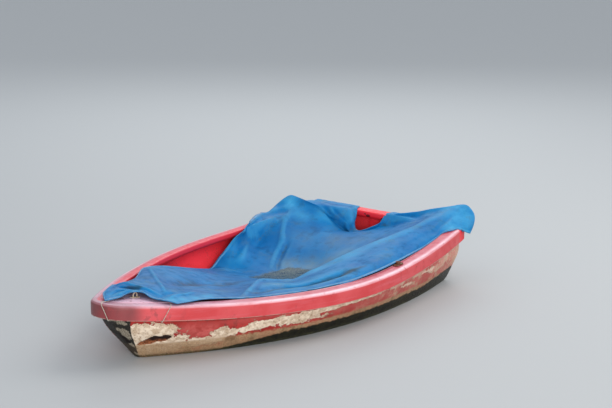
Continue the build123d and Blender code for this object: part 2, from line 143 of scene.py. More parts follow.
def level_half(level, inset, lift):
    """Half outline of a level from the stem, round the nose corner, aft and across the transom."""
    z0 = level["z"] + lift
    end = HALF - transom_x(z0 - level["tilt"] * HALF) - inset
    fine = outline(level, inset, [24, 40, 40, 60])
    side = [(s, b) for s, b, h in fine]
    s1, b1, h1 = fine[-1]
    side[-1] = (end, b1 + (end - s1) * math.tan(h1))
    side = [q for q in side[:-1] if q[0] < end - 0.001] + [side[-1]]
    stem = (level["stem"] + inset, 0.0)
    corner = (side[0][0] + inset * 0.15, max(side[0][1] - inset * 0.2, 0.003))
    side[0] = corner
    wide = min(0.016, 0.42 * math.hypot(corner[0] - stem[0], corner[1] - stem[1]))
    # nose: straight with a little camber
    nose = []
    for k in range(NOSE_N + 1):
        f = k / NOSE_N
        bow = 0.004 * (1 - (2 * f - 1) ** 2) * min(1, corner[1] / 0.06)
        nose.append((stem[0] + (corner[0] - stem[0]) * f - bow * f, stem[1] + (corner[1] - stem[1]) * f))
    ln = math.hypot(corner[0] - stem[0], corner[1] - stem[1])
    na = spaced(nose, np.linspace(0, 1 - wide / ln, NOSE_N + 1))[0]
    total = spaced(side, [0, 1])[1]
    f0 = 0.016 / total
    f1 = 1 - 0.022 / total
    sa = spaced(side, f0 + (f1 - f0) * SIDE_AT)[0]
    turn = bezier(na[-1], corner, sa[0], TURN_N)[1:-1]
    cs = side[-1]
    aft = [(end, cs[1] * (1 - f)) for f in np.linspace(0.022 / cs[1] if cs[1] > 0.03 else 0.3, 1, STERN_N + 1)]
    turn2 = bezier(sa[-1], cs, aft[0], TURN_N)[1:-1]
    return np.array([tuple(q) for q in na] + turn + [tuple(q) for q in sa] + turn2 + aft)


def pchip(t, y, q):
    """Monotone cubic through (t, y) at q, along axis 0."""
    t, y, q = np.asarray(t, float), np.asarray(y, float), np.asarray(q, float)
    h = np.diff(t)
    shape = (-1,) + (1,) * (y.ndim - 1)
    d = np.diff(y, axis=0) / h.reshape(shape)
    m = np.zeros_like(y)
    w1, w2 = 2 * h[1:] + h[:-1], h[1:] + 2 * h[:-1]
    w1, w2 = w1.reshape(shape), w2.reshape(shape)
    same = d[1:] * d[:-1] > 0
    with np.errstate(divide="ignore", invalid="ignore"):
        mm = (w1 + w2) / (w1 / d[:-1] + w2 / d[1:])
    m[1:-1] = np.where(same, mm, 0)
    m[0], m[-1] = d[0], d[-1]
    i = np.clip(np.searchsorted(t, q, side="right") - 1, 0, len(h) - 1)
    u = ((q - t[i]) / h[i]).reshape(shape)
    hh = h[i].reshape(shape)
    return ((2 * u ** 3 - 3 * u ** 2 + 1) * y[i] + (u ** 3 - 2 * u ** 2 + u) * hh * m[i]
            + (-2 * u ** 3 + 3 * u ** 2) * y[i + 1] + (u ** 3 - u ** 2) * hh * m[i + 1])


LOW_V = np.concatenate([np.linspace(0, 1, 4)[:-1], np.linspace(1, 2, 5)[:-1], np.linspace(2, 3, 9)])
TOP_N = 34


def hull_half(inset, lift, drop):
    """Rows from the keel up, columns from the stem round to the middle of the transom."""
    cols = []
    for i, lv in enumerate(LEVELS):
        half = level_half(lv, inset, lift if i < 2 else 0)
        x = HALF - half[:, 0]
        z = lv["z"] + (lift if i < 2 else 0) + lv["tilt"] * x
        cols.append(np.stack([x, half[:, 1], z], axis=1))
    cols = np.array(cols)
    low = pchip([0, 1, 2, 3], cols[:4], LOW_V)
    vv = np.linspace(3, 5, 81)
    up = pchip([3, 4, 5], cols[3:], vv)
    top = sheer(up[:, :, 0]) - drop
    rows = [r for r in low]
    n = up.shape[1]
    upper = np.zeros((TOP_N, n, 3))
    for j in range(n):
        gap = up[:, j, 2] - top[:, j]
        k = int(np.argmax(gap > 0))
        v_end = vv[k - 1] + (vv[k] - vv[k - 1]) * (-gap[k - 1]) / (gap[k] - gap[k - 1])
        q = np.linspace(3, v_end, TOP_N + 1)[1:]
        for c in range(3):
            upper[:, j, c] = np.interp(q, vv, up[:, j, c])
    return np.concatenate([np.array(rows), upper], axis=0)


def ring(half):
    """Port half and its mirror image as closed rows."""
    port = half
    star = half[:, -2:0:-1].copy()
    star[:, :, 1] *= -1
    return np.concatenate([port, star], axis=1)


def smooth_noise(p, scale, seed):
    """Cheap value noise in space, about -1 to 1."""
    g = np.random.default_rng(seed)
    out = np.zeros(len(p))
    for k in range(9):
        a = g.normal(size=3)
        a /= np.linalg.norm(a)
        out += np.sin(p @ a * scale * g.uniform(0.6, 1.7) + g.uniform(0, 6.3))
    return out / 4.5


def add_mesh(name, verts, faces, mat=None, smooth=True):
    me = bpy.data.meshes.new(name)
    me.from_pydata([tuple(map(float, v)) for v in verts], [], faces)
    me.update()
    me.validate()
    if smooth:
        me.polygons.foreach_set("use_smooth", [True] * len(me.polygons))
    ob = bpy.data.objects.new(name, me)
    bpy.context.scene.collection.objects.link(ob)
    if mat is not None:
        me.materials.append(mat)
    return ob


# ------------------------------------------------------------------ materials
def lin(r, g, b):
    f = lambda c: c / 12.92 if c <= 0.04045 else ((c + 0.055) / 1.055) ** 2.4
    return (f(r / 255), f(g / 255), f(b / 255), 1.0)


class Mat:
    """A node material and short helpers to build it."""

    def __init__(self, name, rough=0.6):
        self.m = bpy.data.materials.new(name)
        self.m.use_nodes = True
        self.nt = self.m.node_tree
        self.b = self.nt.nodes["Principled BSDF"]
        self.b.inputs["Roughness"].default_value = rough
        self.co = self.nt.nodes.new("ShaderNodeTexCoord").outputs["Object"]
        s = self.nt.nodes.new("ShaderNodeSeparateXYZ")
        self.link(self.co, s.inputs[0])
        self.x, self.y, self.z = s.outputs

    def link(self, a, b):
        self.nt.links.new(a, b)

    def put(self, sock, v):
        if isinstance(v, bpy.types.NodeSocket):
            self.link(v, sock)
        else:
            sock.default_value = v

    def noise(self, scale, detail=4.0, rough=0.55, stretch=None, shift=0.0):
        n = self.nt.nodes.new("ShaderNodeTexNoise")
        n.inputs["Scale"].default_value = scale
        n.inputs["Detail"].default_value = detail
        n.inputs["Roughness"].default_value = rough
        mp = self.nt.nodes.new("ShaderNodeMapping")
        mp.inputs["Location"].default_value = (shift, shift * 0.7, -shift * 0.4)
        if stretch:
            mp.inputs["Scale"].default_value = stretch
        self.link(self.co, mp.inputs[0])
        self.link(mp.outputs[0], n.inputs["Vector"])
        return n.outputs["Fac"]

    def voronoi(self, scale, shift=0.0, rnd=1.0):
        n = self.nt.nodes.new("ShaderNodeTexVoronoi")
        n.inputs["Scale"].default_value = scale
        n.inputs["Randomness"].default_value = rnd
        mp = self.nt.nodes.new("ShaderNodeMapping")
        mp.inputs["Location"].default_value = (shift, shift * 0.7, -shift * 0.4)
        self.link(self.co, mp.inputs[0])
        self.link(mp.outputs[0], n.inputs["Vector"])
        return n.outputs["Distance"]

    def math(self, op, a, b=0.0, c=0.0, clamp=False):
        n = self.nt.nodes.new("ShaderNodeMath")
        n.operation = op
        n.use_clamp = clamp
        for s, v in zip(n.inputs, (a, b, c)):
            self.put(s, v)
        return n.outputs[0]

    def ramp(self, v, lo, hi, out0=0.0, out1=1.0):
        n = self.nt.nodes.new("ShaderNodeMapRange")
        n.interpolation_type = "SMOOTHSTEP"
        n.clamp = True
        self.put(n.inputs[0], v)
        for s, q in zip(list(n.inputs)[1:5], (lo, hi, out0, out1)):
            self.put(s, q)
        return n.outputs[0]

    def mix(self, f, a, b):
        n = self.nt.nodes.new("ShaderNodeMix")
        n.data_type = "RGBA"
        self.put(n.inputs[0], f)
        self.put(n.inputs[6], a)
        self.put(n.inputs[7], b)
        return n.outputs[2]

    def attr(self, name):
        n = self.nt.nodes.new("ShaderNodeAttribute")
        n.attribute_name = name
        s = self.nt.nodes.new("ShaderNodeSeparateColor")
        self.link(n.outputs["Color"], s.inputs[0])
        return s.outputs[0], s.outputs[1], s.outputs[2]

    def colour(self, v):
        self.put(self.b.inputs["Base Color"], v)

    def rough(self, v):
        self.put(self.b.inputs["Roughness"], v)

    def bump(self, h, strength=0.3, dist=0.002):
        n = self.nt.nodes.new("ShaderNodeBump")
        n.inputs["Strength"].default_value = strength
        n.inputs["Distance"].default_value = dist
        self.link(h, n.inputs["Height"])
        self.link(n.outputs[0], self.b.inputs["Normal"])


def hull_material():
    k = Mat("hull_paint", 0.5)
    k.b.inputs["Specular IOR Level"].default_value = 0.22
    flake, fresh, dark = k.attr("paint")
    pitted = [n for n in k.nt.nodes if n.type == "ATTRIBUTE"][0].outputs["Alpha"]
    big, mid, fine = k.noise(5.0, 5), k.noise(28.0, 5, 0.6), k.noise(130.0, 4, 0.65, shift=3.0)
    streak = k.noise(9.0, 5, 0.6, stretch=(1.0, 1.0, 0.22), shift=1.3)
    red = k.mix(k.ramp(big, 0.35, 0.65), lin(158, 38, 34), lin(186, 58, 54))
    red = k.mix(k.ramp(mid, 0.48, 0.70, 0.0, 0.70), red, lin(116, 30, 26))
    red = k.mix(k.math("MULTIPLY", fresh, k.ramp(mid, 0.3, 0.6, 0.4, 1.0)), red, lin(206, 96, 92))
    red = k.mix(k.ramp(streak, 0.55, 0.74, 0.0, 0.40), red, lin(206, 122, 104))
    cream = k.mix(k.ramp(mid, 0.38, 0.62), lin(246, 228, 204), lin(206, 180, 152))
    cream = k.mix(k.ramp(k.noise(45.0, 5, 0.7, shift=8.0), 0.56, 0.68, 0.0, 0.7), cream, lin(150, 104, 82))
    cream = k.mix(k.ramp(k.z, 0.10, 0.03, 0.0, 0.55), cream, lin(150, 124, 92))
    # paint has let go where the bias and the noise together pass a threshold
    edge = k.math("ADD", k.math("MULTIPLY", mid, 0.45), k.math("MULTIPLY", k.noise(52.0, 5, 0.65, stretch=(0.6, 0.6, 1.2), shift=6.0), 0.35))
    edge = k.math("ADD", edge, k.math("MULTIPLY", fine, 0.20))
    v = k.math("ADD", edge, k.math("SUBTRACT", k.math("MULTIPLY", flake, 0.40), 0.20))
    gone = k.ramp(v, 0.455, 0.475)
    col = k.mix(gone, red, cream)
    rim_of = k.math("MULTIPLY", k.ramp(v, 0.435, 0.455), k.ramp(v, 0.480, 0.462))
    col = k.mix(k.math("MULTIPLY", rim_of, 0.55), col, lin(84, 34, 30))
    # dark specks where the moulding is scuffed
    speck = k.ramp(k.math("ADD", fine, k.math("MULTIPLY", mid, 0.35)), 0.80, 0.86, 0.0, 0.75)
    col = k.mix(k.math("MULTIPLY", speck, k.ramp(flake, 0.05, 0.4, 0.35, 1.0)), col, lin(58, 44, 38))
    # faded, chalky and scratched towards the stern
    chalky = k.math("MULTIPLY", k.ramp(k.x, 0.35, -0.75), k.ramp(k.math("ADD", streak, k.math("MULTIPLY", k.math("SUBTRACT", fine, 0.5), 0.5)), 0.40, 0.62, 0.25, 0.85))
    col = k.mix(chalky, col, k.mix(k.ramp(mid, 0.47, 0.64), lin(206, 122, 110), lin(210, 178, 150)))
    # painted shadow: a dark band on the hull side just under the gunwale, where the gunwale's shade falls
    under = k.nt.nodes.new("ShaderNodeAttribute")
    under.attribute_name = "under"
    col = k.mix(k.math("MULTIPLY", under.outputs["Fac"], k.ramp(mid, 0.38, 0.58, 0.45, 0.95)), col, lin(74, 34, 28))
    # run-down dirt and bare scraped places on the nose face, with painted shade where the face turns away from the
    # light
    nose_dirt_and_shade = k.ramp(k.math("ADD", dark, k.math("MULTIPLY", k.math("SUBTRACT", mid, 0.5), 0.9)), 0.42, 0.62)
    col = k.mix(nose_dirt_and_shade, col, k.mix(k.ramp(fine, 0.35, 0.7), lin(30, 28, 24), lin(58, 54, 48)))
    patch = k.nt.nodes.new("ShaderNodeAttribute")
    patch.attribute_name = "chalk"
    noise2 = k.math("MULTIPLY", k.math("SUBTRACT", k.noise(38.0, 5, 0.65, shift=11.0), 0.5), 1.3)
    col = k.mix(k.ramp(k.math("ADD", patch.outputs["Fac"], noise2), 0.42, 0.60, 0.0, 0.95), col, k.mix(k.ramp(fine, 0.4, 0.65), lin(168, 158, 140), lin(104, 92, 76)))
    hole = k.nt.nodes.new("ShaderNodeAttribute")
    hole.attribute_name = "hole"
    col = k.mix(k.ramp(k.math("ADD", hole.outputs["Fac"], k.math("MULTIPLY", noise2, 0.5)), 0.45, 0.60), col, lin(24, 14, 12))
    pitcol = k.mix(k.ramp(k.math("ADD", k.z, k.math("MULTIPLY", k.math("SUBTRACT", mid, 0.5), 0.06)), 0.154, 0.120), lin(34, 18, 14), lin(164, 96, 60))
    col = k.mix(k.ramp(pitted, 0.25, 0.6), col, k.mix(k.ramp(fine, 0.5, 0.62), pitcol, lin(36, 22, 18)))
    # band of weed: dark olive under the chine, higher towards the stern
    line = k.ramp(k.x, 0.32, 1.05, 0.076, -0.012)
    line = k.math("ADD", line, k.ramp(k.x, -0.90, -1.40, 0.0, 0.036))
    h = k.math("SUBTRACT", k.z, k.math("ADD", line, k.math("MULTIPLY", k.math("SUBTRACT", mid, 0.5), 0.05)))
    tan = k.mix(k.ramp(fine, 0.35, 0.7), lin(188, 156, 120), lin(142, 110, 80))
    tan = k.mix(k.ramp(streak, 0.50, 0.66, 0.0, 0.8), tan, lin(120, 88, 60))
    wave = k.math("ADD", k.math("MULTIPLY", k.math("SUBTRACT", fine, 0.5), 0.02), k.math("MULTIPLY", k.math("SUBTRACT", mid, 0.5), 0.04))
    band = k.math("MULTIPLY", k.ramp(k.math("ADD", k.z, wave), 0.114, 0.096), k.ramp(streak, 0.35, 0.60, 0.75, 1.0))
    band = k.math("MULTIPLY", band, k.math("MULTIPLY_ADD", dark, -0.9, 1.0))
    col = k.mix(band, col, tan)
    weed = k.mix(k.ramp(k.math("ADD", mid, k.math("MULTIPLY", fine, 0.6)), 0.62, 0.98), lin(10, 10, 6), lin(40, 38, 18))
    wet = k.ramp(h, 0.006, -0.006)
    col = k.mix(wet, col, weed)
    slime = k.mix(k.ramp(mid, 0.4, 0.65), lin(44, 44, 24), lin(76, 74, 44))
    col = k.mix(k.math("MULTIPLY", k.ramp(k.z, 0.028, 0.012), k.ramp(fine, 0.3, 0.6, 0.3, 0.9)), col, slime)
    # inside of the moulding
    inner = k.mix(k.ramp(big, 0.35, 0.7), lin(246, 50, 62), lin(228, 42, 54))
    # painted light: the inside is made a brighter red towards the transom, standing in for light on its shaded inner
    # face
    inner = k.mix(k.ramp(k.x, -1.30, -1.42), inner, lin(255, 64, 74))
    inner = k.mix(k.ramp(k.z, 0.12, -0.02, 0.0, 0.75), inner, lin(84, 52, 44))
    inner = k.mix(k.ramp(k.math("ADD", fine, k.math("MULTIPLY", streak, 0.5)), 0.80, 0.95, 0.0, 0.5), inner, lin(96, 60, 52))
    inside = k.nt.nodes.new("ShaderNodeAttribute")
    inside.attribute_name = "inside"
    col = k.mix(inside.outputs["Fac"], col, inner)
    k.colour(col)
    k.rough(k.math("ADD", k.math("MULTIPLY", gone, 0.18), k.math("MULTIPLY_ADD", wet, -0.12, 0.5)))
    hgt = k.math("SUBTRACT", k.math("MULTIPLY", fine, 0.35), k.math("MULTIPLY", gone, 0.6))
    hgt = k.math("ADD", hgt, k.math("MULTIPLY", k.math("MULTIPLY", wet, k.voronoi(240.0)), 1.4))
    k.bump(hgt, 0.55, 0.0025)
    return k.m


def rim_material(name="gunwale_paint"):
    k = Mat(name, 0.42)

    def point(key):
        n = k.nt.nodes.new("ShaderNodeAttribute")
        n.attribute_name = key
        return n.outputs["Fac"]

    big, mid, fine = k.noise(4.0, 5), k.noise(22.0, 5, 0.6), k.noise(120.0, 4, 0.65, shift=2.0)
    along = k.noise(3.0, 6, 0.6, stretch=(1.0, 1.0, 12.0), shift=4.0)
    face = k.mix(k.ramp(big, 0.35, 0.65), lin(204, 60, 64), lin(214, 80, 84))
    face = k.mix(k.ramp(along, 0.5, 0.7, 0.0, 0.5), face, lin(214, 100, 108))
    top = k.mix(k.ramp(big, 0.3, 0.7), lin(198, 74, 90), lin(206, 98, 114))
    bow = k.ramp(k.x, 0.55, 1.15)
    top = k.mix(k.math("MULTIPLY", bow, k.ramp(mid, 0.3, 0.6, 0.6, 1.0)), top, lin(214, 166, 184))
    top = k.mix(k.ramp(k.x, -1.36, -1.40), top, lin(226, 40, 56))
    col = k.mix(point("up"), face, top)
    # painted highlight: pale pink on the rounded outer edge and the inner edge of the top, standing for the sky's
    # reflection; weaker towards the bow
    edge = k.math("MULTIPLY", point("worn"), k.ramp(k.math("ADD", along, k.math("MULTIPLY", mid, 0.3)), 0.45, 0.75, 0.45, 1.0))
    col = k.mix(k.math("MULTIPLY", edge, k.ramp(k.x, 1.1, 0.7, 0.35, 1.0)), col, lin(252, 214, 222))
    # painted shade: the side face darkens at the bow tip, which faces away from the light; it also darkens in blotches
    # a little further aft, and less on the top
    grey = k.math("MULTIPLY", k.ramp(k.x, 1.31, 1.42), k.ramp(big, 0.35, 0.65, 0.75, 1.0))
    bow_blotches = k.math("MULTIPLY", k.ramp(k.x, 1.05, 1.28), k.ramp(mid, 0.50, 0.62, 0.0, 0.45))
    grey = k.math("MAXIMUM", grey, bow_blotches)
    grey = k.math("MULTIPLY", grey, k.math("MULTIPLY_ADD", point("up"), -0.6, 1.0))
    col = k.mix(grey, col, lin(112, 56, 58))
    col = k.mix(k.ramp(mid, 0.58, 0.74, 0.0, 0.45), col, lin(172, 62, 66))
    # painted highlight: pale patches along the lower edge of the lip, where light catches it
    lip = k.math("MULTIPLY", point("lip"), k.ramp(k.math("ADD", mid, k.math("MULTIPLY", fine, 0.4)), 0.58, 0.72))
    col = k.mix(lip, col, lin(206, 176, 160))
    chip = k.ramp(k.math("ADD", k.math("MULTIPLY", fine, 0.6), k.math("MULTIPLY", mid, 0.4)), 0.63, 0.67, 0.0, 0.7)
    col = k.mix(chip, col, lin(128, 56, 54))
    pale = k.ramp(k.noise(60.0, 5, 0.7, shift=5.0), 0.70, 0.74, 0.0, 0.7)
    col = k.mix(pale, col, lin(226, 196, 188))
    aft = k.math("MULTIPLY", k.ramp(k.x, -1.385, -1.40), k.ramp(k.x, -1.496, -1.488))
    for cy, cz, ry, rz in ((-0.125, 0.362, 0.020, 0.010), (-0.004, 0.352, 0.011, 0.013), (-0.150, 0.372, 0.008, 0.006)):
        dy = k.math("DIVIDE", k.math("SUBTRACT", k.y, cy), ry)
        dz = k.math("DIVIDE", k.math("SUBTRACT", k.z, cz), rz)
        r2 = k.math("ADD", k.math("MULTIPLY", dy, dy), k.math("MULTIPLY", dz, dz))
        aft_only = k.math("MULTIPLY", k.ramp(k.x, -1.38, -1.40), k.ramp(k.x, -1.47, -1.45))
        mark = k.math("MULTIPLY", k.ramp(k.math("ADD", r2, k.math("MULTIPLY", fine, 0.8)), 1.6, 0.9, 0.0, 0.9), aft_only)
        marks = mark if cy == -0.125 else k.math("MAXIMUM", marks, mark)
    # painted light: on the starboard side the inner half of the top and the inner flange take the bright interior red,
    # brightening the shade under the lip
    far_inboard_painted_light = k.math("MULTIPLY", point("inboard"), k.ramp(k.y, -0.02, -0.08))
    col = k.mix(k.math("MULTIPLY", far_inboard_painted_light, 0.85), col, lin(232, 46, 66))
    col = k.mix(k.math("MULTIPLY", aft, 0.92), col, lin(244, 36, 50))
    col = k.mix(marks, col, lin(64, 20, 20))
    k.colour(col)
    k.rough(k.ramp(mid, 0.3, 0.7, 0.36, 0.54))
    k.bump(k.math("ADD", k.math("MULTIPLY", mid, 0.5), k.math("MULTIPLY", fine, 0.4)), 0.14, 0.002)
    return k.m


def plain_material(name, a, b, rough=0.5, scale=20.0, spot=None, bump=0.25, stretch=None, metal=0.0):
    k = Mat(name, rough)
    mid, fine = k.noise(scale, 5, 0.6, stretch=stretch), k.noise(scale * 6, 4, 0.65, shift=2.0)
    col = k.mix(k.ramp(mid, 0.35, 0.68), lin(*a), lin(*b))
    if spot:
        col = k.mix(k.ramp(k.math("ADD", mid, k.math("MULTIPLY", fine, 0.5)), 0.82, 0.95, 0.0, 0.85), col, lin(*spot))
    k.colour(col)
    k.b.inputs["Metallic"].default_value = metal
    k.bump(k.math("ADD", mid, k.math("MULTIPLY", fine, 0.6)), bump, 0.0015)
    return k.m


def wood_material(name, a, b):
    k = Mat(name, 0.72)
    grain = k.noise(16.0, 6, 0.65, stretch=(0.18, 3.0, 3.0))
    fine = k.noise(90.0, 4, 0.6, stretch=(0.12, 2.0, 2.0), shift=2.0)
    col = k.mix(k.ramp(grain, 0.35, 0.65), lin(*a), lin(*b))
    col = k.mix(k.ramp(fine, 0.55, 0.7, 0.0, 0.6), col, lin(40, 34, 28))
    k.colour(col)
    k.bump(k.math("ADD", grain, fine), 0.4, 0.002)
    return k.m


HULL_MAT = hull_material()
RIM_MAT = rim_material()
DECK_MAT = plain_material("foredeck_paint", (252, 212, 228), (240, 188, 206), 0.45, 9.0, spot=(150, 96, 96), bump=0.15)
SEAT_MAT = plain_material("seat_paint", (206, 30, 46), (178, 26, 36), 0.45, 9.0, spot=(120, 70, 60), bump=0.2)
WOOD_MAT = wood_material("board_wood", (112, 92, 68), (72, 58, 44))
PAD_MAT = wood_material("pad_wood", (104, 78, 56), (62, 46, 34))
KEEL_MAT = plain_material("keel_weed", (40, 38, 22), (78, 72, 42), 0.7, 30.0, spot=(22, 20, 14), bump=0.6)
INPAD_MAT = plain_material("inner_pad_paint", (252, 44, 58), (236, 34, 46), 0.5, 9.0, spot=(110, 50, 40), bump=0.3)
EYE_MAT = plain_material("worn_galvanising", (222, 210, 192), (204, 168, 128), 0.6, 60.0, spot=(164, 92, 52), bump=0.4, metal=0.2)
RUST_MAT = plain_material("rusted_steel", (122, 66, 34), (92, 60, 44), 0.72, 60.0, spot=(168, 150, 132), bump=0.5, metal=0.35)
RUBBER_MAT = plain_material("bung_rubber", (26, 26, 27), (40, 39, 38), 0.8, 40.0, bump=0.2)
CORD_MAT = plain_material("cord_fibre", (206, 200, 184), (164, 156, 140), 0.85, 180.0, spot=(96, 90, 80), bump=0.6)

# ------------------------------------------------------------------ hull
GOUGE = [(1.208, 0.140, 0.040, 0.032), (1.155, 0.145, 0.042, 0.024), (1.234, 0.122, 0.026, 0.020)]
FLAKES = [
    # middle x, middle z, half length, half height, strength
    (1.345, 0.215, 0.075, 0.036, 1.0), (1.270, 0.205, 0.085, 0.040, 1.0), (1.190, 0.196, 0.060, 0.034, 1.0),
    (1.290, 0.130, 0.095, 0.075, 1.0), (1.200, 0.100, 0.110, 0.062, 1.0), (1.100, 0.085, 0.075, 0.045, 1.0),
    (1.060, 0.132, 0.030, 0.022, 0.9), (0.940, 0.092, 0.120, 0.026, 0.8),
    (0.835, 0.138, 0.045, 0.030, 0.95), (0.775, 0.132, 0.040, 0.020, 0.8), (0.690, 0.140, 0.050, 0.020, 0.75), (0.615, 0.158, 0.060, 0.024, 0.95),
    (0.540, 0.162, 0.090, 0.018, 0.95), (0.420, 0.166, 0.130, 0.018, 0.95), (0.300, 0.166, 0.080, 0.022, 0.95), (0.150, 0.178, 0.120, 0.014, 0.9),
    (-0.050, 0.186, 0.150, 0.013, 0.9), (-0.253, 0.190, 0.110, 0.013, 0.85), (0.350, 0.135, 0.200, 0.016, 0.6),
    (-0.533, 0.187, 0.080, 0.012, 0.75), (-0.700, 0.160, 0.080, 0.012, 0.6), (-0.851, 0.202, 0.080, 0.014, 0.7), (-1.031, 0.193, 0.080, 0.014, 0.7),
    (-1.324, 0.245, 0.080, 0.044, 1.0), (-1.390, 0.270, 0.060, 0.055, 1.0), (-1.220, 0.225, 0.070, 0.030, 0.9), (-1.40, 0.19, 0.06, 0.05, 0.95), (-1.10, 0.180, 0.09, 0.020, 0.8),
]
NOSE_CHALK = [
    # middle y, middle z, half width, half height, strength
    (0.050, 0.190, 0.040, 0.050, 0.85), (0.020, 0.215, 0.030, 0.028, 0.7), (0.035, 0.105, 0.022, 0.030, 0.7), (0.060, 0.275, 0.070, 0.022, 0.75), (0.030, 0.03, 0.04, 0.02, 0.7),
    (-0.02, 0.28, 0.05, 0.02, 0.5), (-0.06, 0.18, 0.03, 0.03, 0.35),
]
NOSE_HOLES = [(0.016, 0.155, 0.020, 0.016, 1.0), (0.026, 0.128, 0.018, 0.014, 1.0), (0.000, 0.172, 0.012, 0.010, 0.9)]
FRESH = [(0.943, 0.165, 0.070, 0.040, 1.0), (1.03, 0.20, 0.06, 0.03, 0.8), (-1.121, 0.258, 0.120, 0.024, 0.9), (-0.999, 0.235, 0.120, 0.022, 0.8),
         (0.300, 0.215, 0.500, 0.022, 0.6), (-0.600, 0.215, 0.500, 0.030, 0.8), (-0.30, 0.15, 0.6, 0.02, 0.5)]


def spots(table, x, z):
    out = np.zeros(len(x))
    for cx, cz, rx, rz, s in table:
        d = ((x - cx) / rx) ** 2 + ((z - cz) / rz) ** 2
        out = np.maximum(out, s * np.exp(-0.5 * np.maximum(d - 0.35, 0)))
    return out


def build_hull():
    outer = ring(hull_half(0.0, 0.0, 0.0066))
    inner = ring(hull_half(SKIN, SKIN, 0.0066))
    rows, n = outer.shape[:2]
    po, pi = outer.reshape(-1, 3).copy(), inner.reshape(-1, 3).copy()
    # small unevenness of a hand-laid moulding, and a scraped hollow low on the port bow
    flat = po.reshape(rows, n, 3)
    nrm = np.zeros_like(flat)
    nrm[:, :, 0] = -np.gradient(flat[:, :, 1], axis=1)
    nrm[:, :, 1] = np.gradient(flat[:, :, 0], axis=1)
    nrm /= np.maximum(np.linalg.norm(nrm, axis=2, keepdims=True), 1e-9)
    nrm = nrm.reshape(-1, 3)
    out = np.sign((po[:, :2] * nrm[:, :2]).sum(axis=1, keepdims=True))
    nrm = nrm * np.where(out == 0, 1, out)
    off = 0.0011 * smooth_noise(po, 14, 3) + 0.0006 * smooth_noise(po, 45, 4)
    low = np.clip((po[:, 2] + 0.03) / 0.06, 0, 1)
    off = off * low
    pit = np.zeros(len(po))
    for cx, cz, rx, rz in GOUGE:
        d = np.sqrt(((po[:, 0] - cx) / rx) ** 2 + ((po[:, 2] - cz) / rz) ** 2) + 0.20 * smooth_noise(po, 75, 9)
        pit = np.maximum(pit, np.clip((1.10 - d) / 0.25, 0, 1) * (po[:, 1] > 0.05))
    off = off - 0.0052 * pit
    off = np.where(np.abs(po[:, 1]) < 0.004, 0, off)
    po = po + nrm * off[:, None]
    verts = np.concatenate([po, pi])
    faces = []
    N = rows * n

    def band(base, flip):
        for r in range(rows - 1):
            for c in range(n):
                a, b = base + r * n + c, base + r * n + (c + 1) % n
                f = (a, b, b + n, a + n)
                faces.append(f[::-1] if flip else f)

    band(0, True)
    band(N, False)
    for c in range(n):
        a, b = (rows - 1) * n + c, (rows - 1) * n + (c + 1) % n
        faces.append((b, a, a + N, b + N))
    h = n // 2
    for base, flip in ((0, False), (N, True)):
        for c in range(h):
            a, b = c, c + 1
            d, e = (n - c) % n, (n - c - 1) % n
            f = [base + q for q in (a, b, e, d)]
            f = list(dict.fromkeys(f))
            if len(f) >= 3:
                faces.append(tuple(f[::-1] if flip else f))
    ob = add_mesh("hull_moulding", verts, faces, HULL_MAT)
    me = ob.data
    x, y, z = verts[:, 0], verts[:, 1], verts[:, 2]
    port = y > -0.02
    mirror_x = np.where(port, x, 0.55 - 0.8 * x)         # the far side wears in other places
    fl = spots(FLAKES, mirror_x, z)
    fr = spots(FRESH, mirror_x, z)
    half = 0.040 + (z - 0.035) * 0.357                   # half width of the nose face at that height
    crease = 1.200 + (z - 0.035) * 0.738
    # the nose face, darkened in the material as dirt and painted shade
    dk = np.clip((half - 0.001 - np.abs(y)) / 0.010, 0, 1) * np.clip((x - crease + 0.03) / 0.02, 0, 1)
    gg = np.concatenate([pit, np.zeros(N)])
    on_nose = dk > 0.3
    chalk, hole = np.zeros(len(x)), np.zeros(len(x))
    for cy, cz, ry, rz, s in NOSE_CHALK:
        chalk = np.maximum(chalk, s * np.clip(1.4 - np.hypot((y - cy) / ry, (z - cz) / rz), 0, 1) * on_nose)
    for cy, cz, ry, rz, s in NOSE_HOLES:
        hole = np.maximum(hole, s * np.clip(1.5 - np.hypot((y - cy) / ry, (z - cz) / rz), 0, 1) * on_nose)
    a = me.color_attributes.new("paint", "FLOAT_COLOR", "POINT")
    a.data.foreach_set("color", np.stack([fl, fr, dk, gg], axis=1).astype(np.float32).ravel())
    # painted shadow: a band just below the gunwale, darkened in the material
    under = np.clip((z - (sheer(x) - 0.120)) / 0.010, 0, 1) * np.clip(0.6 + 0.4 * smooth_noise(np.stack([x, y, z * 0], axis=1) * 1.0, 9, 31), 0, 1)
    for key, val in (("chalk", chalk), ("hole", hole), ("under", under)):
        me.attributes.new(key, "FLOAT", "POINT").data.foreach_set("value", val.astype(np.float32))
    b = me.attributes.new("inside", "FLOAT", "POINT")
    b.data.foreach_set("value", np.concatenate([np.zeros(N), np.ones(N)]).astype(np.float32))
    return ob


hull = build_hull()
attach(hull, "root")
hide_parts("hull_shell")

# ------------------------------------------------------------------ gunwale
RIM_WIDTH, RIM_CORNER, RIM_EDGE, RIM_FALL = 0.092, 0.036, 0.022, 0.0055


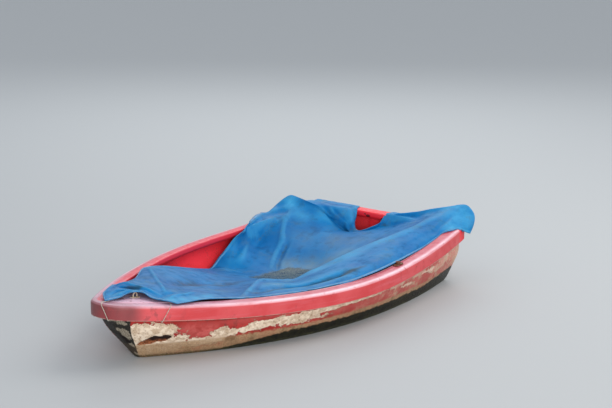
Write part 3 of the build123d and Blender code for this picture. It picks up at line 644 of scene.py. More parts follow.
def rim_row(d, counts=(26, 34, 52, 50, 64), turn=9, aft=26):
    """Plan outline of the gunwale moved inboard by d, port side from the bow then across the transom."""
    rho = max(RIM_CORNER - d, 0.008)
    fine = outline(RIM, d, counts)
    s1, b1, h1 = fine[-1]
    deep = outline(RIM, d + rho, [1, 1, 1, 1, 1])[-1]
    cx_s = HALF * 2 - d - rho                            # corner centre, distance aft
    cy = deep[1] + (cx_s - deep[0]) * math.tan(deep[2])
    n0 = (-math.sin(h1), math.cos(h1))
    touch = (cx_s + rho * n0[0], cy + rho * n0[1])
    pts = [(s, b) for s, b, h in fine if s < touch[0] - 0.004]
    want = sum(counts) + 1 - 2
    pts = [tuple(q) for q in spaced(pts, np.linspace(0, 1, want))[0]] if len(pts) != want else pts
    a0, a1 = math.atan2(n0[1], n0[0]), 0.0
    corner = []
    for k in range(turn + 1):
        a = a0 + (a1 - a0) * k / turn
        corner.append((cx_s + rho * math.cos(a), cy + rho * math.sin(a)))
    edge = [(3.0 - d, cy * (1 - f)) for f in np.linspace(0, 1, aft + 1)[1:]]
    half = np.array(pts + corner + edge)
    half[:, 0] = HALF - half[:, 0]
    half[0, 1] = 0
    star = half[-2:0:-1].copy()
    star[:, 1] *= -1
    return np.concatenate([half, star])


def build_rim():
    W, R = RIM_WIDTH, RIM_EDGE
    fall = lambda d: RIM_FALL * (1 - min(d, W) / W)      # the top falls a little outboard
    prof = [(0.0, 0.098), (0.0, 0.093), (0.0, 0.070), (0.0, 0.045)]
    for a in np.linspace(0, 90, 9):
        d = R - R * math.cos(math.radians(a))
        prof.append((d, R - R * math.sin(math.radians(a)) + fall(d)))
    prof += [(d, fall(d)) for d in (0.034, 0.048, 0.062, 0.076)]
    for a in np.linspace(90, 0, 6):
        prof.append((W - 0.010 + 0.010 * math.cos(math.radians(a)), 0.010 - 0.010 * math.sin(math.radians(a)) + fall(W - 0.01)))
    prof += [(W, 0.024), (W, 0.042), (W - 0.006, 0.042), (W - 0.006, 0.016), (W - 0.010, 0.008), (0.060, 0.006 + fall(0.06))]
    r2 = R - 0.006
    for a in np.linspace(90, 0, 6):
        d = R - r2 * math.cos(math.radians(a))
        prof.append((d, R - r2 * math.sin(math.radians(a)) + fall(d)))
    prof += [(0.006, 0.060), (0.006, 0.098)]
    rows = []
    for d, drop in prof:
        xy = rim_row(d)
        rows.append(np.stack([xy[:, 0], xy[:, 1], sheer(xy[:, 0]) - drop], axis=1))
    P = np.array(rows)
    m, n = P.shape[:2]
    flat = P.reshape(-1, 3)
    # the flange is a little wavy, the top hardly at all
    drops = np.repeat(np.array([p[1] for p in prof]), n)
    ins = np.repeat(np.array([p[0] for p in prof]), n)
    amp = 0.0006 + 0.0016 * np.clip(drops / 0.098, 0, 1) * (ins < 0.03)
    wav = smooth_noise(flat * np.array([1, 1, 0.2]), 7, 12)
    out = flat[:, :2] / np.maximum(np.linalg.norm(flat[:, :2], axis=1, keepdims=True), 1e-6)
    flat = flat.copy()
    flat[:, :2] -= out * (amp * (0.6 + 0.6 * wav))[:, None]
    faces = []
    for r in range(m):
        for c in range(n):
            a, b = r * n + c, r * n + (c + 1) % n
            a2, b2 = ((r + 1) % m) * n + c, ((r + 1) % m) * n + (c + 1) % n
            faces.append((a, a2, b2, b))
    ob = add_mesh("gunwale_moulding", flat, faces, RIM_MAT)
    up = np.array([1.0 if (q[1] < 0.013 and 0.012 < q[0] < W - 0.006) else (0.5 if q[1] < 0.018 and q[0] < 0.03 else 0.0) for q in prof])
    # painted highlight along the rounded outer edge and the inner edge of the top
    worn = np.array([np.exp(-((q[0] - 0.012) / 0.011) ** 2) * (q[1] < 0.020) + 0.8 * (W - 0.012 < q[0] < W - 0.001) * (q[1] < 0.014) for q in prof])
    # the lower edge of the lip, given a painted highlight in the material
    lip = np.array([1.0 if (q[1] > 0.096 and q[0] < 0.003) else 0.0 for q in prof])
    inboard = np.array([1.0 if (q[0] > 0.045 and q[1] < 0.043) else 0.0 for q in prof])
    ob.data.attributes.new("inboard", "FLOAT", "POINT").data.foreach_set("value", np.repeat(inboard, n).astype(np.float32))
    ob.data.attributes.new("up", "FLOAT", "POINT").data.foreach_set("value", np.repeat(up, n).astype(np.float32))
    ob.data.attributes.new("worn", "FLOAT", "POINT").data.foreach_set("value", np.repeat(worn, n).astype(np.float32))
    ob.data.attributes.new("lip", "FLOAT", "POINT").data.foreach_set("value", np.repeat(lip, n).astype(np.float32))
    return ob


rim = build_rim()
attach(rim, "root")
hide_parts("gunwale")

# ------------------------------------------------------------------ pieces shown as they were modelled
CARRIED = {
    "foredeck": (DECK_MAT, "gunwale_red"), "bow_seat": (SEAT_MAT, "seat_red"), "centre_thwart": (SEAT_MAT, "seat_red"),
    "stern_bench": (SEAT_MAT, "seat_red"), "bottom_boards": (WOOD_MAT, "board_wood"), "board_bearers": (WOOD_MAT, "board_wood"),
    "keel": (KEEL_MAT, "keel_grp"), "bilge_runners": (KEEL_MAT, "keel_grp"), "transom_pad_outer": (PAD_MAT, "pad_wood"),
    "transom_pad_inner": (INPAD_MAT, "pad_wood"), "mooring_eye": (EYE_MAT, "galvanised"), "stern_eyes": (RUST_MAT, "galvanised"),
    "drain_plug": (RUBBER_MAT, "bung_rubber"), "rowlock_socket": (RUST_MAT, "galvanised"), "tie_cords": (CORD_MAT, "cord_white"),
}
for node, (mat, slot) in CARRIED.items():
    ob = frame["nodes"][node] if isinstance(frame, dict) and "nodes" in frame else bpy.data.objects[node]
    ob.data.materials.clear()
    ob.data.materials.append(mat)

# ------------------------------------------------------------------ tarpaulin
TARP_ROWS = [
    [(0.000, 1.160, 0.311, 0.388), (0.120, 1.178, 0.255, 0.398), (0.250, 1.188, 0.193, 0.398), (0.370, 1.196, 0.132, 0.404), (0.500, 1.186, 0.070, 0.418),
     (0.620, 1.262, 0.020, 0.428), (0.750, 1.355, 0.030, 0.424), (0.880, 1.441, 0.012, 0.422), (1.000, 1.462, 0.004, 0.421)],
    [(0.000, 1.014, 0.328, 0.376), (0.120, 1.034, 0.258, 0.384), (0.250, 1.038, 0.165, 0.394), (0.370, 1.063, 0.092, 0.406), (0.500, 1.107, 0.049, 0.418),
     (0.620, 1.137, -0.005, 0.425), (0.750, 1.203, -0.051, 0.432), (0.880, 1.279, -0.088, 0.430), (1.000, 1.342, -0.120, 0.420)],
    [(0.000, 0.864, 0.336, 0.365), (0.120, 0.856, 0.218, 0.368), (0.250, 0.867, 0.115, 0.372), (0.370, 0.899, 0.037, 0.385), (0.500, 0.951, -0.007, 0.402),
     (0.620, 1.010, -0.037, 0.410), (0.750, 1.077, -0.074, 0.425), (0.880, 1.127, -0.119, 0.435), (1.000, 1.177, -0.190, 0.415)],
    [(0.000, 0.735, 0.372, 0.345), (0.120, 0.673, 0.201, 0.330), (0.250, 0.673, 0.088, 0.330), (0.370, 0.701, -0.003, 0.340), (0.500, 0.716, -0.088, 0.355),
     (0.620, 0.776, -0.135, 0.380), (0.750, 0.823, -0.185, 0.395), (0.880, 0.873, -0.232, 0.398), (1.000, 0.899, -0.276, 0.380)],
    [(0.000, 0.635, 0.417, 0.330), (0.120, 0.500, 0.195, 0.290), (0.250, 0.432, 0.016, 0.270), (0.370, 0.414, -0.115, 0.270), (0.500, 0.433, -0.208, 0.285),
     (0.620, 0.488, -0.269, 0.320), (0.750, 0.537, -0.344, 0.345), (0.880, 0.572, -0.399, 0.360), (1.000, 0.548, -0.488, 0.348)],
    [(0.000, 0.567, 0.442, 0.322), (0.120, 0.354, 0.206, 0.285), (0.250, 0.190, -0.017, 0.230), (0.370, 0.134, -0.180, 0.210), (0.500, 0.144, -0.283, 0.215),
     (0.620, 0.185, -0.350, 0.240), (0.750, 0.250, -0.397, 0.270), (0.880, 0.288, -0.459, 0.285), (1.000, 0.339, -0.518, 0.300)],
    [(0.000, 0.432, 0.492, 0.316), (0.120, 0.269, 0.252, 0.300), (0.250, -0.001, 0.037, 0.230), (0.370, -0.127, -0.165, 0.175), (0.500, -0.193, -0.321, 0.155),
     (0.620, -0.193, -0.424, 0.155), (0.750, -0.155, -0.498, 0.165), (0.880, -0.102, -0.540, 0.180), (1.000, -0.015, -0.563, 0.200)],
    [(0.000, 0.247, 0.554, 0.314), (0.120, 0.149, 0.448, 0.300), (0.250, -0.069, 0.215, 0.235), (0.370, -0.339, -0.104, 0.135), (0.500, -0.382, -0.249, 0.122),
     (0.620, -0.389, -0.376, 0.120), (0.750, -0.368, -0.480, 0.125), (0.880, -0.317, -0.562, 0.140), (1.000, -0.254, -0.624, 0.140)],
    [(0.000, 0.067, 0.599, 0.314), (0.120, -0.002, 0.532, 0.320), (0.250, -0.230, 0.313, 0.280), (0.370, -0.479, 0.008, 0.140), (0.500, -0.535, -0.163, 0.120),
     (0.620, -0.522, -0.308, 0.120), (0.750, -0.496, -0.435, 0.140), (0.880, -0.465, -0.559, 0.190), (1.000, -0.425, -0.659, 0.200)],
    [(0.000, -0.125, 0.654, 0.320), (0.120, -0.218, 0.578, 0.340), (0.250, -0.431, 0.407, 0.340), (0.370, -0.679, 0.067, 0.190), (0.500, -0.717, -0.131, 0.135),
     (0.620, -0.686, -0.297, 0.150), (0.750, -0.739, -0.479, 0.195), (0.860, -0.780, -0.626, 0.235), (0.940, -0.694, -0.655, 0.295), (1.000, -0.603, -0.630, 0.328)],
    [(0.000, -0.381, 0.691, 0.330), (0.120, -0.468, 0.621, 0.360), (0.250, -0.679, 0.463, 0.375), (0.370, -0.831, 0.156, 0.270), (0.500, -0.890, -0.098, 0.210),
     (0.620, -0.891, -0.316, 0.225), (0.750, -0.927, -0.484, 0.285), (0.880, -0.964, -0.628, 0.335), (1.000, -0.917, -0.744, 0.370)],
    [(0.000, -0.718, 0.670, 0.342), (0.120, -0.796, 0.607, 0.370), (0.250, -0.928, 0.499, 0.398), (0.370, -1.014, 0.242, 0.330), (0.500, -1.072, -0.019, 0.270),
     (0.620, -1.119, -0.278, 0.285), (0.730, -1.150, -0.478, 0.350), (0.820, -1.188, -0.632, 0.400), (0.900, -1.141, -0.749, 0.392), (1.000, -1.150, -0.775, 0.322)],
    [(0.000, -1.155, 0.581, 0.368), (0.120, -1.176, 0.558, 0.395), (0.250, -1.240, 0.498, 0.415), (0.370, -1.242, 0.299, 0.370), (0.500, -1.314, 0.047, 0.310),
     (0.610, -1.244, -0.161, 0.285), (0.710, -1.266, -0.371, 0.365), (0.810, -1.259, -0.552, 0.420), (0.900, -1.246, -0.686, 0.462), (1.000, -1.300, -0.765, 0.330)],
    [(0.000, -1.336, 0.631, 0.388), (0.120, -1.423, 0.573, 0.425), (0.250, -1.508, 0.491, 0.460), (0.370, -1.471, 0.317, 0.420), (0.500, -1.367, 0.008, 0.315),
     (0.600, -1.202, -0.113, 0.272), (0.680, -1.237, -0.192, 0.325), (0.800, -1.274, -0.404, 0.395), (0.900, -1.265, -0.593, 0.435), (1.000, -1.430, -0.735, 0.340)],
    [(0.000, -1.479, 0.677, 0.345), (0.080, -1.508, 0.686, 0.390), (0.160, -1.592, 0.642, 0.452), (0.240, -1.621, 0.548, 0.500), (0.330, -1.562, 0.422, 0.475),
     (0.420, -1.483, 0.224, 0.437), (0.500, -1.403, 0.068, 0.418), (0.535, -1.386, 0.025, 0.332), (0.610, -1.221, -0.101, 0.288), (0.640, -1.284, -0.160, 0.335),
     (0.680, -1.356, -0.244, 0.410), (0.800, -1.326, -0.398, 0.415), (0.900, -1.363, -0.568, 0.420), (1.000, -1.500, -0.700, 0.345)],
    [(0.000, -1.545, 0.640, 0.325), (0.080, -1.575, 0.615, 0.360), (0.160, -1.610, 0.575, 0.395), (0.240, -1.620, 0.500, 0.395), (0.330, -1.595, 0.370, 0.360),
     (0.420, -1.560, 0.200, 0.325), (0.500, -1.525, 0.060, 0.345), (0.535, -1.406, 0.020, 0.338), (0.610, -1.239, -0.098, 0.292), (0.645, -1.400, -0.225, 0.345),
     (0.690, -1.525, -0.270, 0.350), (0.800, -1.550, -0.400, 0.325), (0.900, -1.570, -0.560, 0.325), (1.000, -1.560, -0.655, 0.335)],
]


def tarp_surface(nu, nv):
    tv = np.linspace(0, 1, nv)
    rows = np.array([pchip([q[0] for q in r], np.array([q[1:] for q in r]), tv) for r in TARP_ROWS])
    return pchip(np.arange(len(rows)), rows, np.linspace(0, len(rows) - 1, nu))


FOLDS = [
    # points along the fold (x, y), half width, height
    ([(-0.10, 0.20), (-0.30, 0.25), (-0.52, 0.31), (-0.76, 0.38), (-1.00, 0.43), (-1.25, 0.44), (-1.50, 0.45)], 0.050, 0.026),
    ([(-0.45, 0.05), (-0.65, 0.08), (-0.90, 0.15), (-1.15, 0.20)], 0.060, -0.020),
    ([(0.25, 0.40), (0.15, 0.45), (0.00, 0.53), (-0.20, 0.58)], 0.032, -0.032),
    ([(0.58, -0.43), (0.82, -0.16), (1.05, 0.12)], 0.014, 0.012),
    ([(1.213, -0.115), (1.190, -0.054), (1.157, 0.015)], 0.016, -0.014),
    ([(1.401, -0.072), (1.187, -0.186), (1.135, -0.128), (1.125, -0.017), (1.117, 0.14)], 0.014, 0.011),
    ([(0.63, 0.39), (0.42, 0.27), (0.12, 0.12), (-0.03, 0.16), (-0.12, 0.23)], 0.020, 0.020),
    ([(0.44, 0.36), (0.30, 0.36), (0.15, 0.40)], 0.040, -0.022),
    ([(-0.684, -0.648), (-0.579, -0.623), (-0.412, -0.549)], 0.015, -0.007),
    ([(-0.789, -0.67), (-0.664, -0.617), (-0.432, -0.497)], 0.014, 0.007),
    ([(-0.869, -0.651), (-0.721, -0.587), (-0.477, -0.447)], 0.015, -0.006),
    ([(-0.879, -0.423), (-0.773, -0.393), (-0.655, -0.346), (-0.562, -0.286)], 0.016, -0.022),
    ([(-0.884, -0.469), (-0.74, -0.426), (-0.565, -0.339)], 0.016, 0.009),
    ([(-1.256, -0.693), (-1.096, -0.606), (-0.912, -0.503), (-0.833, -0.453)], 0.020, 0.015),
    ([(-1.282, -0.411), (-1.26, -0.313), (-1.24, -0.204), (-1.228, -0.126)], 0.015, -0.022),
    ([(-1.294, -0.348), (-1.269, -0.26), (-1.257, -0.168)], 0.012, -0.014),
    ([(-1.292, -0.383), (-1.264, -0.28), (-1.243, -0.176)], 0.010, 0.012),
    ([(-1.391, 0.051), (-1.419, 0.109), (-1.483, 0.183), (-1.498, 0.292)], 0.016, -0.012),
    ([(-1.168, 0.581), (-1.296, 0.556), (-1.485, 0.532)], 0.014, -0.010),
    ([(-1.36, 0.60), (-1.48, 0.60), (-1.56, 0.58)], 0.014, -0.008),
    ([(-0.377, -0.452), (-0.298, -0.564), (-0.083, -0.56), (0.204, -0.534), (0.492, -0.494)], 0.020, 0.008),
    ([(1.12, 0.22), (1.05, 0.20), (0.96, 0.21), (0.86, 0.19)], 0.016, 0.010),
    ([(1.16, 0.17), (1.08, 0.15), (1.00, 0.15)], 0.012, -0.009),
    ([(1.38, -0.04), (1.28, -0.06), (1.22, -0.02)], 0.012, -0.010),
    ([(1.34, 0.00), (1.26, -0.01), (1.16, 0.06)], 0.011, 0.009),
    ([(0.72, 0.05), (0.55, 0.00), (0.40, 0.00)], 0.045, -0.012),
    ([(-0.97, -0.75), (-1.04, -0.75), (-1.12, -0.75)], 0.045, 0.012),
    ([(0.862, -0.001), (0.538, -0.119), (0.30, -0.17), (0.12, -0.12)], 0.050, -0.014),
]


def tarp_material():
    k = Mat("tarp_sheet", 0.36)
    k.b.inputs["Specular IOR Level"].default_value = 0.12
    big, mid, fine = k.noise(3.2, 5), k.noise(16.0, 6, 0.6), k.noise(110.0, 5, 0.65, shift=2.0)
    col = k.mix(k.ramp(big, 0.35, 0.65), lin(2, 104, 168), lin(12, 122, 184))
    col = k.mix(k.ramp(mid, 0.5, 0.72, 0.0, 0.6), col, lin(2, 78, 130))
    wet, pale, dirt_and_crease_shade = k.attr("wear")
    # paler hem, with a painted highlight on the fold ridges and painted light at the LIGHT places
    col = k.mix(k.math("MULTIPLY", pale, k.ramp(mid, 0.3, 0.6, 0.5, 1.0)), col, lin(70, 164, 210))
    dust = k.ramp(k.math("ADD", k.math("MULTIPLY", k.noise(7.0, 6, 0.7, shift=9.0), 0.7), k.math("MULTIPLY", fine, 0.3)), 0.50, 0.66, 0.0, 0.45)
    col = k.mix(dust, col, lin(72, 112, 132))
    # dirt along the hem, and painted shade in the creases of the folds
    grime_and_crease_shade = k.ramp(k.math("ADD", k.math("MULTIPLY", dirt_and_crease_shade, 0.30), k.math("ADD", k.math("MULTIPLY", mid, 0.5), k.math("MULTIPLY", fine, 0.4))), 0.60, 0.92, 0.0, 0.8)
    col = k.mix(grime_and_crease_shade, col, lin(58, 84, 92))
    low = k.nt.nodes.new("ShaderNodeAttribute")
    low.attribute_name = "hollow"
    # painted shade in the broad hollows of the sheet and along the SHADE streaks
    shade = k.math("ADD", low.outputs["Fac"], k.math("MULTIPLY", k.math("SUBTRACT", k.noise(11.0, 6, 0.7, shift=12.0), 0.5), 0.95))
    col = k.mix(k.ramp(shade, 0.20, 0.80, 0.0, 0.88), col, k.mix(k.ramp(big, 0.4, 0.6), lin(12, 52, 84), lin(34, 62, 72)))
    dusty = k.nt.nodes.new("ShaderNodeAttribute")
    dusty.attribute_name = "dusty"
    col = k.mix(k.math("MULTIPLY", dusty.outputs["Fac"], k.ramp(k.math("ADD", mid, k.math("MULTIPLY", fine, 0.3)), 0.45, 0.72, 0.45, 1.0)), col, lin(122, 146, 154))
    rain = k.ramp(k.math("ADD", wet, k.math("ADD", k.math("MULTIPLY", k.math("SUBTRACT", mid, 0.5), 0.6), k.math("MULTIPLY", k.math("SUBTRACT", big, 0.5), 0.7))), 0.42, 0.58)
    col = k.mix(k.math("MULTIPLY", rain, 0.88), col, k.mix(k.ramp(mid, 0.35, 0.65), lin(18, 30, 34), lin(40, 60, 64)))
    leaf = k.ramp(k.math("ADD", fine, k.math("MULTIPLY", mid, 0.3)), 0.79, 0.83)
    col = k.mix(k.math("MULTIPLY", leaf, k.ramp(wet, 0.1, 0.45, 0.12, 0.9)), col, lin(62, 52, 34))
    bits = k.ramp(k.noise(150.0, 3, 0.6, shift=7.0), 0.54, 0.60)
    col = k.mix(k.math("MULTIPLY", bits, k.ramp(wet, 0.35, 0.6, 0.0, 0.85)), col, lin(132, 142, 122))
    k.colour(col)
    k.rough(k.math("SUBTRACT", k.ramp(mid, 0.3, 0.7, 0.42, 0.58), k.math("MULTIPLY", rain, 0.20)))
    k.bump(k.math("ADD", k.math("MULTIPLY", mid, 0.6), k.math("MULTIPLY", k.noise(420.0, 2, 0.5), 0.15)), 0.25, 0.004)
    return k.m


TARP_MAT = tarp_material()
NU, NV = 241, 107


def seg_dist(p, poly):
    """Distance from points to a polyline in plan, and the fraction along it."""
    best = np.full(len(p), 9.0)
    along = np.zeros(len(p))
    L = len(poly) - 1
    for i in range(L):
        a, b = np.array(poly[i]), np.array(poly[i + 1])
        ab = b - a
        f = np.clip(((p - a) @ ab) / (ab @ ab), 0, 1)
        d = np.linalg.norm(p - a - f[:, None] * ab, axis=1)
        m = d < best
        best = np.where(m, d, best)
        along = np.where(m, (i + f) / L, along)
    return best, along


RIM_LINE = np.array([(HALF - s, b) for s, b, h in outline(RIM, 0.0, [20, 30, 50, 50, 60])])


def rim_inset(p):
    """How far points lie inside the gunwale's outer face in plan; negative outside."""
    q = np.stack([p[:, 0], np.abs(p[:, 1])], axis=1)
    best = np.full(len(q), 9.0)
    for a, b in zip(RIM_LINE[:-1], RIM_LINE[1:]):
        ab = b - a
        f = np.clip(((q - a) @ ab) / (ab @ ab), 0, 1)
        best = np.minimum(best, np.linalg.norm(q - a - f[:, None] * ab, axis=1))
    o = np.argsort(RIM_LINE[:, 0])
    inside = (q[:, 1] < np.interp(q[:, 0], RIM_LINE[o, 0], RIM_LINE[o, 1])) & (q[:, 0] < HALF)
    side = np.where(inside, best, -best)
    return np.minimum(side, q[:, 0] + HALF)


EYE_AT = (1.190, 0.0)


def clear(P, gap=0.0048):
    """Lifts the sheet off the gunwale and fore deck, and keeps its hanging edge outside the flange."""
    d = rim_inset(P)
    top = sheer(P[:, 0]) - RIM_FALL * np.clip(1 - d / RIM_WIDTH, 0, 1) + gap
    f = np.clip(d / 0.02, 0, 1)
    round_off = (1 - np.sqrt(np.clip(1 - (1 - f) ** 2, 0, 1))) * 0.020
    deck = P[:, 0] > 1.036
    inner = np.clip(d - RIM_WIDTH, 0, 0.05) * np.where(deck, 0, 2.2)
    on = (d > 0.0) & ((d < RIM_WIDTH + 0.035) | deck)
    P[:, 2] = np.where(on, np.maximum(P[:, 2], top - round_off - inner), P[:, 2])
    eye = np.hypot(P[:, 0] - EYE_AT[0], P[:, 1] - EYE_AT[1])
    P[:, 2] = np.where(eye < 0.034, np.maximum(P[:, 2], sheer(P[:, 0]) + 0.040), P[:, 2])
    P[:, 2] = np.where(eye < 0.050, np.maximum(P[:, 2], sheer(P[:, 0]) + 0.010), P[:, 2])
    near = (d <= 0.0) & (d > -0.007) & (P[:, 2] < sheer(P[:, 0]) - 0.004)
    push = np.where(near, -0.007 - d, 0)
    aft = P[:, 0] < -HALF + 0.001
    P[:, 0] -= np.where(near & aft, -push, 0)
    P[:, 1] += np.where(near & ~aft, -push * np.sign(P[:, 1]), 0)
    return P


def build_tarp():
    S = tarp_surface(NU, NV)
    # the port hem lies on the inner edge of the gunwale
    d = rim_inset(S[:, 0])
    along = np.clip((S[:, 0, 0] + 1.30) / 0.12, 0, 1) * np.clip((1.08 - S[:, 0, 0]) / 0.2, 0, 1)
    want = np.clip(d - (RIM_WIDTH - 0.012), 0, 0.05) * along
    fade = np.exp(-(np.linspace(0, 1, NV) / 0.10) ** 2)
    S[:, :, 1] += want[:, None] * fade[None, :]
    P = clear(S.reshape(-1, 3).copy())
    for poly, width, height in FOLDS:
        d, f = seg_dist(P[:, :2], poly)
        P[:, 2] += height * np.exp(-(d / width) ** 2) * np.clip(np.minimum(f, 1 - f) * 6 + 0.25, 0, 1)
    faces = []
    for i in range(NU - 1):
        for j in range(NV - 1):
            a = i * NV + j
            faces.append((a, a + NV, a + NV + 1, a + 1))
    ob = add_mesh("tarp_sheet", P, faces, TARP_MAT)
    drape(ob, P)
    return ob, S


def drape(ob, P):
    """Lets the sheet settle on the boat so that its slack falls into real creases."""
    scene = bpy.context.scene
    scene.gravity = (0, 0, -9.81)
    solids = []
    for src in (rim,):
        c = src.copy()
        c.data = src.data.copy()
        c.name = "hit_" + src.name
        scene.collection.objects.link(c)
        m = c.modifiers.new("Collision", "COLLISION")
        c.collision.thickness_outer = 0.004
        c.collision.thickness_inner = 0.004
        c.collision.cloth_friction = 20
        solids.append(c)
    g = ob.vertex_groups.new(name="hold")
    i, j = np.divmod(np.arange(len(P)), NV)
    w = np.full(len(P), 0.50)
    edge = (j < 2) | (j > NV - 3) | (i < 2) | (i > NU - 3)
    w = np.where(edge, 0.80, w)
    for val in np.unique(w):
        g.add([int(q) for q in np.nonzero(w == val)[0]], float(val), "REPLACE")
    m = ob.modifiers.new("Cloth", "CLOTH")
    s = m.settings
    s.quality = 5
    s.mass = 0.18
    s.tension_stiffness = 25
    s.compression_stiffness = 12
    s.shear_stiffness = 12
    s.bending_stiffness = 0.35
    s.air_damping = 2.0
    s.vertex_group_mass = "hold"
    s.pin_stiffness = 12
    s.shrink_min = -0.030
    s.shrink_max = -0.030
    s.effector_weights.gravity = 0.2
    m.collision_settings.use_collision = True
    m.collision_settings.distance_min = 0.003
    m.collision_settings.collision_quality = 3
    m.collision_settings.use_self_collision = False
    end = 22
    scene.frame_start, scene.frame_end = 1, end
    m.point_cache.frame_start, m.point_cache.frame_end = 1, end
    for f in range(1, end + 1):
        scene.frame_set(f)
    dg = bpy.context.evaluated_depsgraph_get()
    ev = ob.evaluated_get(dg)
    co = np.zeros(len(ob.data.vertices) * 3)
    ev.data.vertices.foreach_get("co", co)
    ob.modifiers.remove(m)
    ob.vertex_groups.clear()
    ob.data.vertices.foreach_set("co", co)
    ob.data.update()
    for c in solids:
        d = c.data
        bpy.data.objects.remove(c)
        bpy.data.meshes.remove(d)
    scene.frame_set(1)


tarp, NET = build_tarp()


LIGHT = [
    # painted light: lighter places on the sheet: x, y, radius, strength
    (-1.50, 0.60, 0.10, 0.75), (-1.38, 0.62, 0.08, 0.65), (-1.58, 0.48, 0.08, 0.60), (1.14, 0.25, 0.05, 1.0), (1.06, 0.28, 0.05, 1.0), (0.97, 0.30, 0.05, 0.95), (0.88, 0.31, 0.045, 0.85),
    (0.82, 0.29, 0.04, 0.5), (-0.55, 0.30, 0.13, 0.45), (-0.80, 0.36, 0.12, 0.35), (-0.28, 0.28, 0.09, 0.40), (-1.20, -0.66, 0.05, 0.5), (-1.15, -0.50, 0.05, 0.45),
    (1.34, -0.03, 0.05, 0.5), (0.45, 0.31, 0.05, 0.35),
]
DUSTY = [
    # dried dirt: x, y, radius, strength
    (-0.66, -0.24, 0.11, 0.60), (-0.72, -0.12, 0.12, 0.65), (-0.78, 0.00, 0.11, 0.55), (-0.86, 0.05, 0.10, 0.45), (-1.02, -0.12, 0.12, 0.35), (-1.06, 0.02, 0.10, 0.30),
    (-0.95, -0.35, 0.12, 0.25), (0.55, 0.10, 0.10, 0.25), (0.20, 0.30, 0.05, 0.3),
]
SHADE = [
    # painted shade: dark streaks where the folds shade the sheet, each a run of places: x, y, radius, strength
    [(0.86, 0.00, 0.07, 0.35), (0.62, -0.10, 0.09, 0.52), (0.45, -0.12, 0.10, 0.58), (0.28, -0.10, 0.11, 0.58), (0.08, -0.10, 0.10, 0.45)],
    [(0.52, 0.34, 0.04, 0.40), (0.44, 0.36, 0.05, 0.60), (0.33, 0.395, 0.055, 0.74), (0.20, 0.45, 0.06, 0.82), (0.08, 0.515, 0.06, 0.84), (-0.06, 0.56, 0.055, 0.82),
     (-0.18, 0.59, 0.045, 0.72), (-0.33, 0.62, 0.03, 0.50)],
    [(1.22, -0.10, 0.025, 0.40), (1.18, -0.055, 0.035, 0.74), (1.13, 0.00, 0.03, 0.55), (1.09, 0.07, 0.02, 0.30)],
    [(-0.48, -0.24, 0.08, 0.30), (-0.62, -0.06, 0.10, 0.34)],
    [(-0.98, -0.26, 0.09, 0.28), (-1.08, -0.36, 0.07, 0.32), (-1.17, -0.44, 0.05, 0.32)],
    [(-1.20, -0.16, 0.04, 0.52), (-1.24, -0.20, 0.04, 0.52)],
    [(0.88, 0.09, 0.06, 0.32), (1.03, 0.17, 0.05, 0.28)],
]


def soften(G, mask, times):
    """Evens out a grid of points where mask is set."""
    for _ in range(times):
        b = G.copy()
        b[1:-1, 1:-1] = 0.5 * G[1:-1, 1:-1] + 0.125 * (G[:-2, 1:-1] + G[2:, 1:-1] + G[1:-1, :-2] + G[1:-1, 2:])
        G = G * (1 - mask) + b * mask
    return G


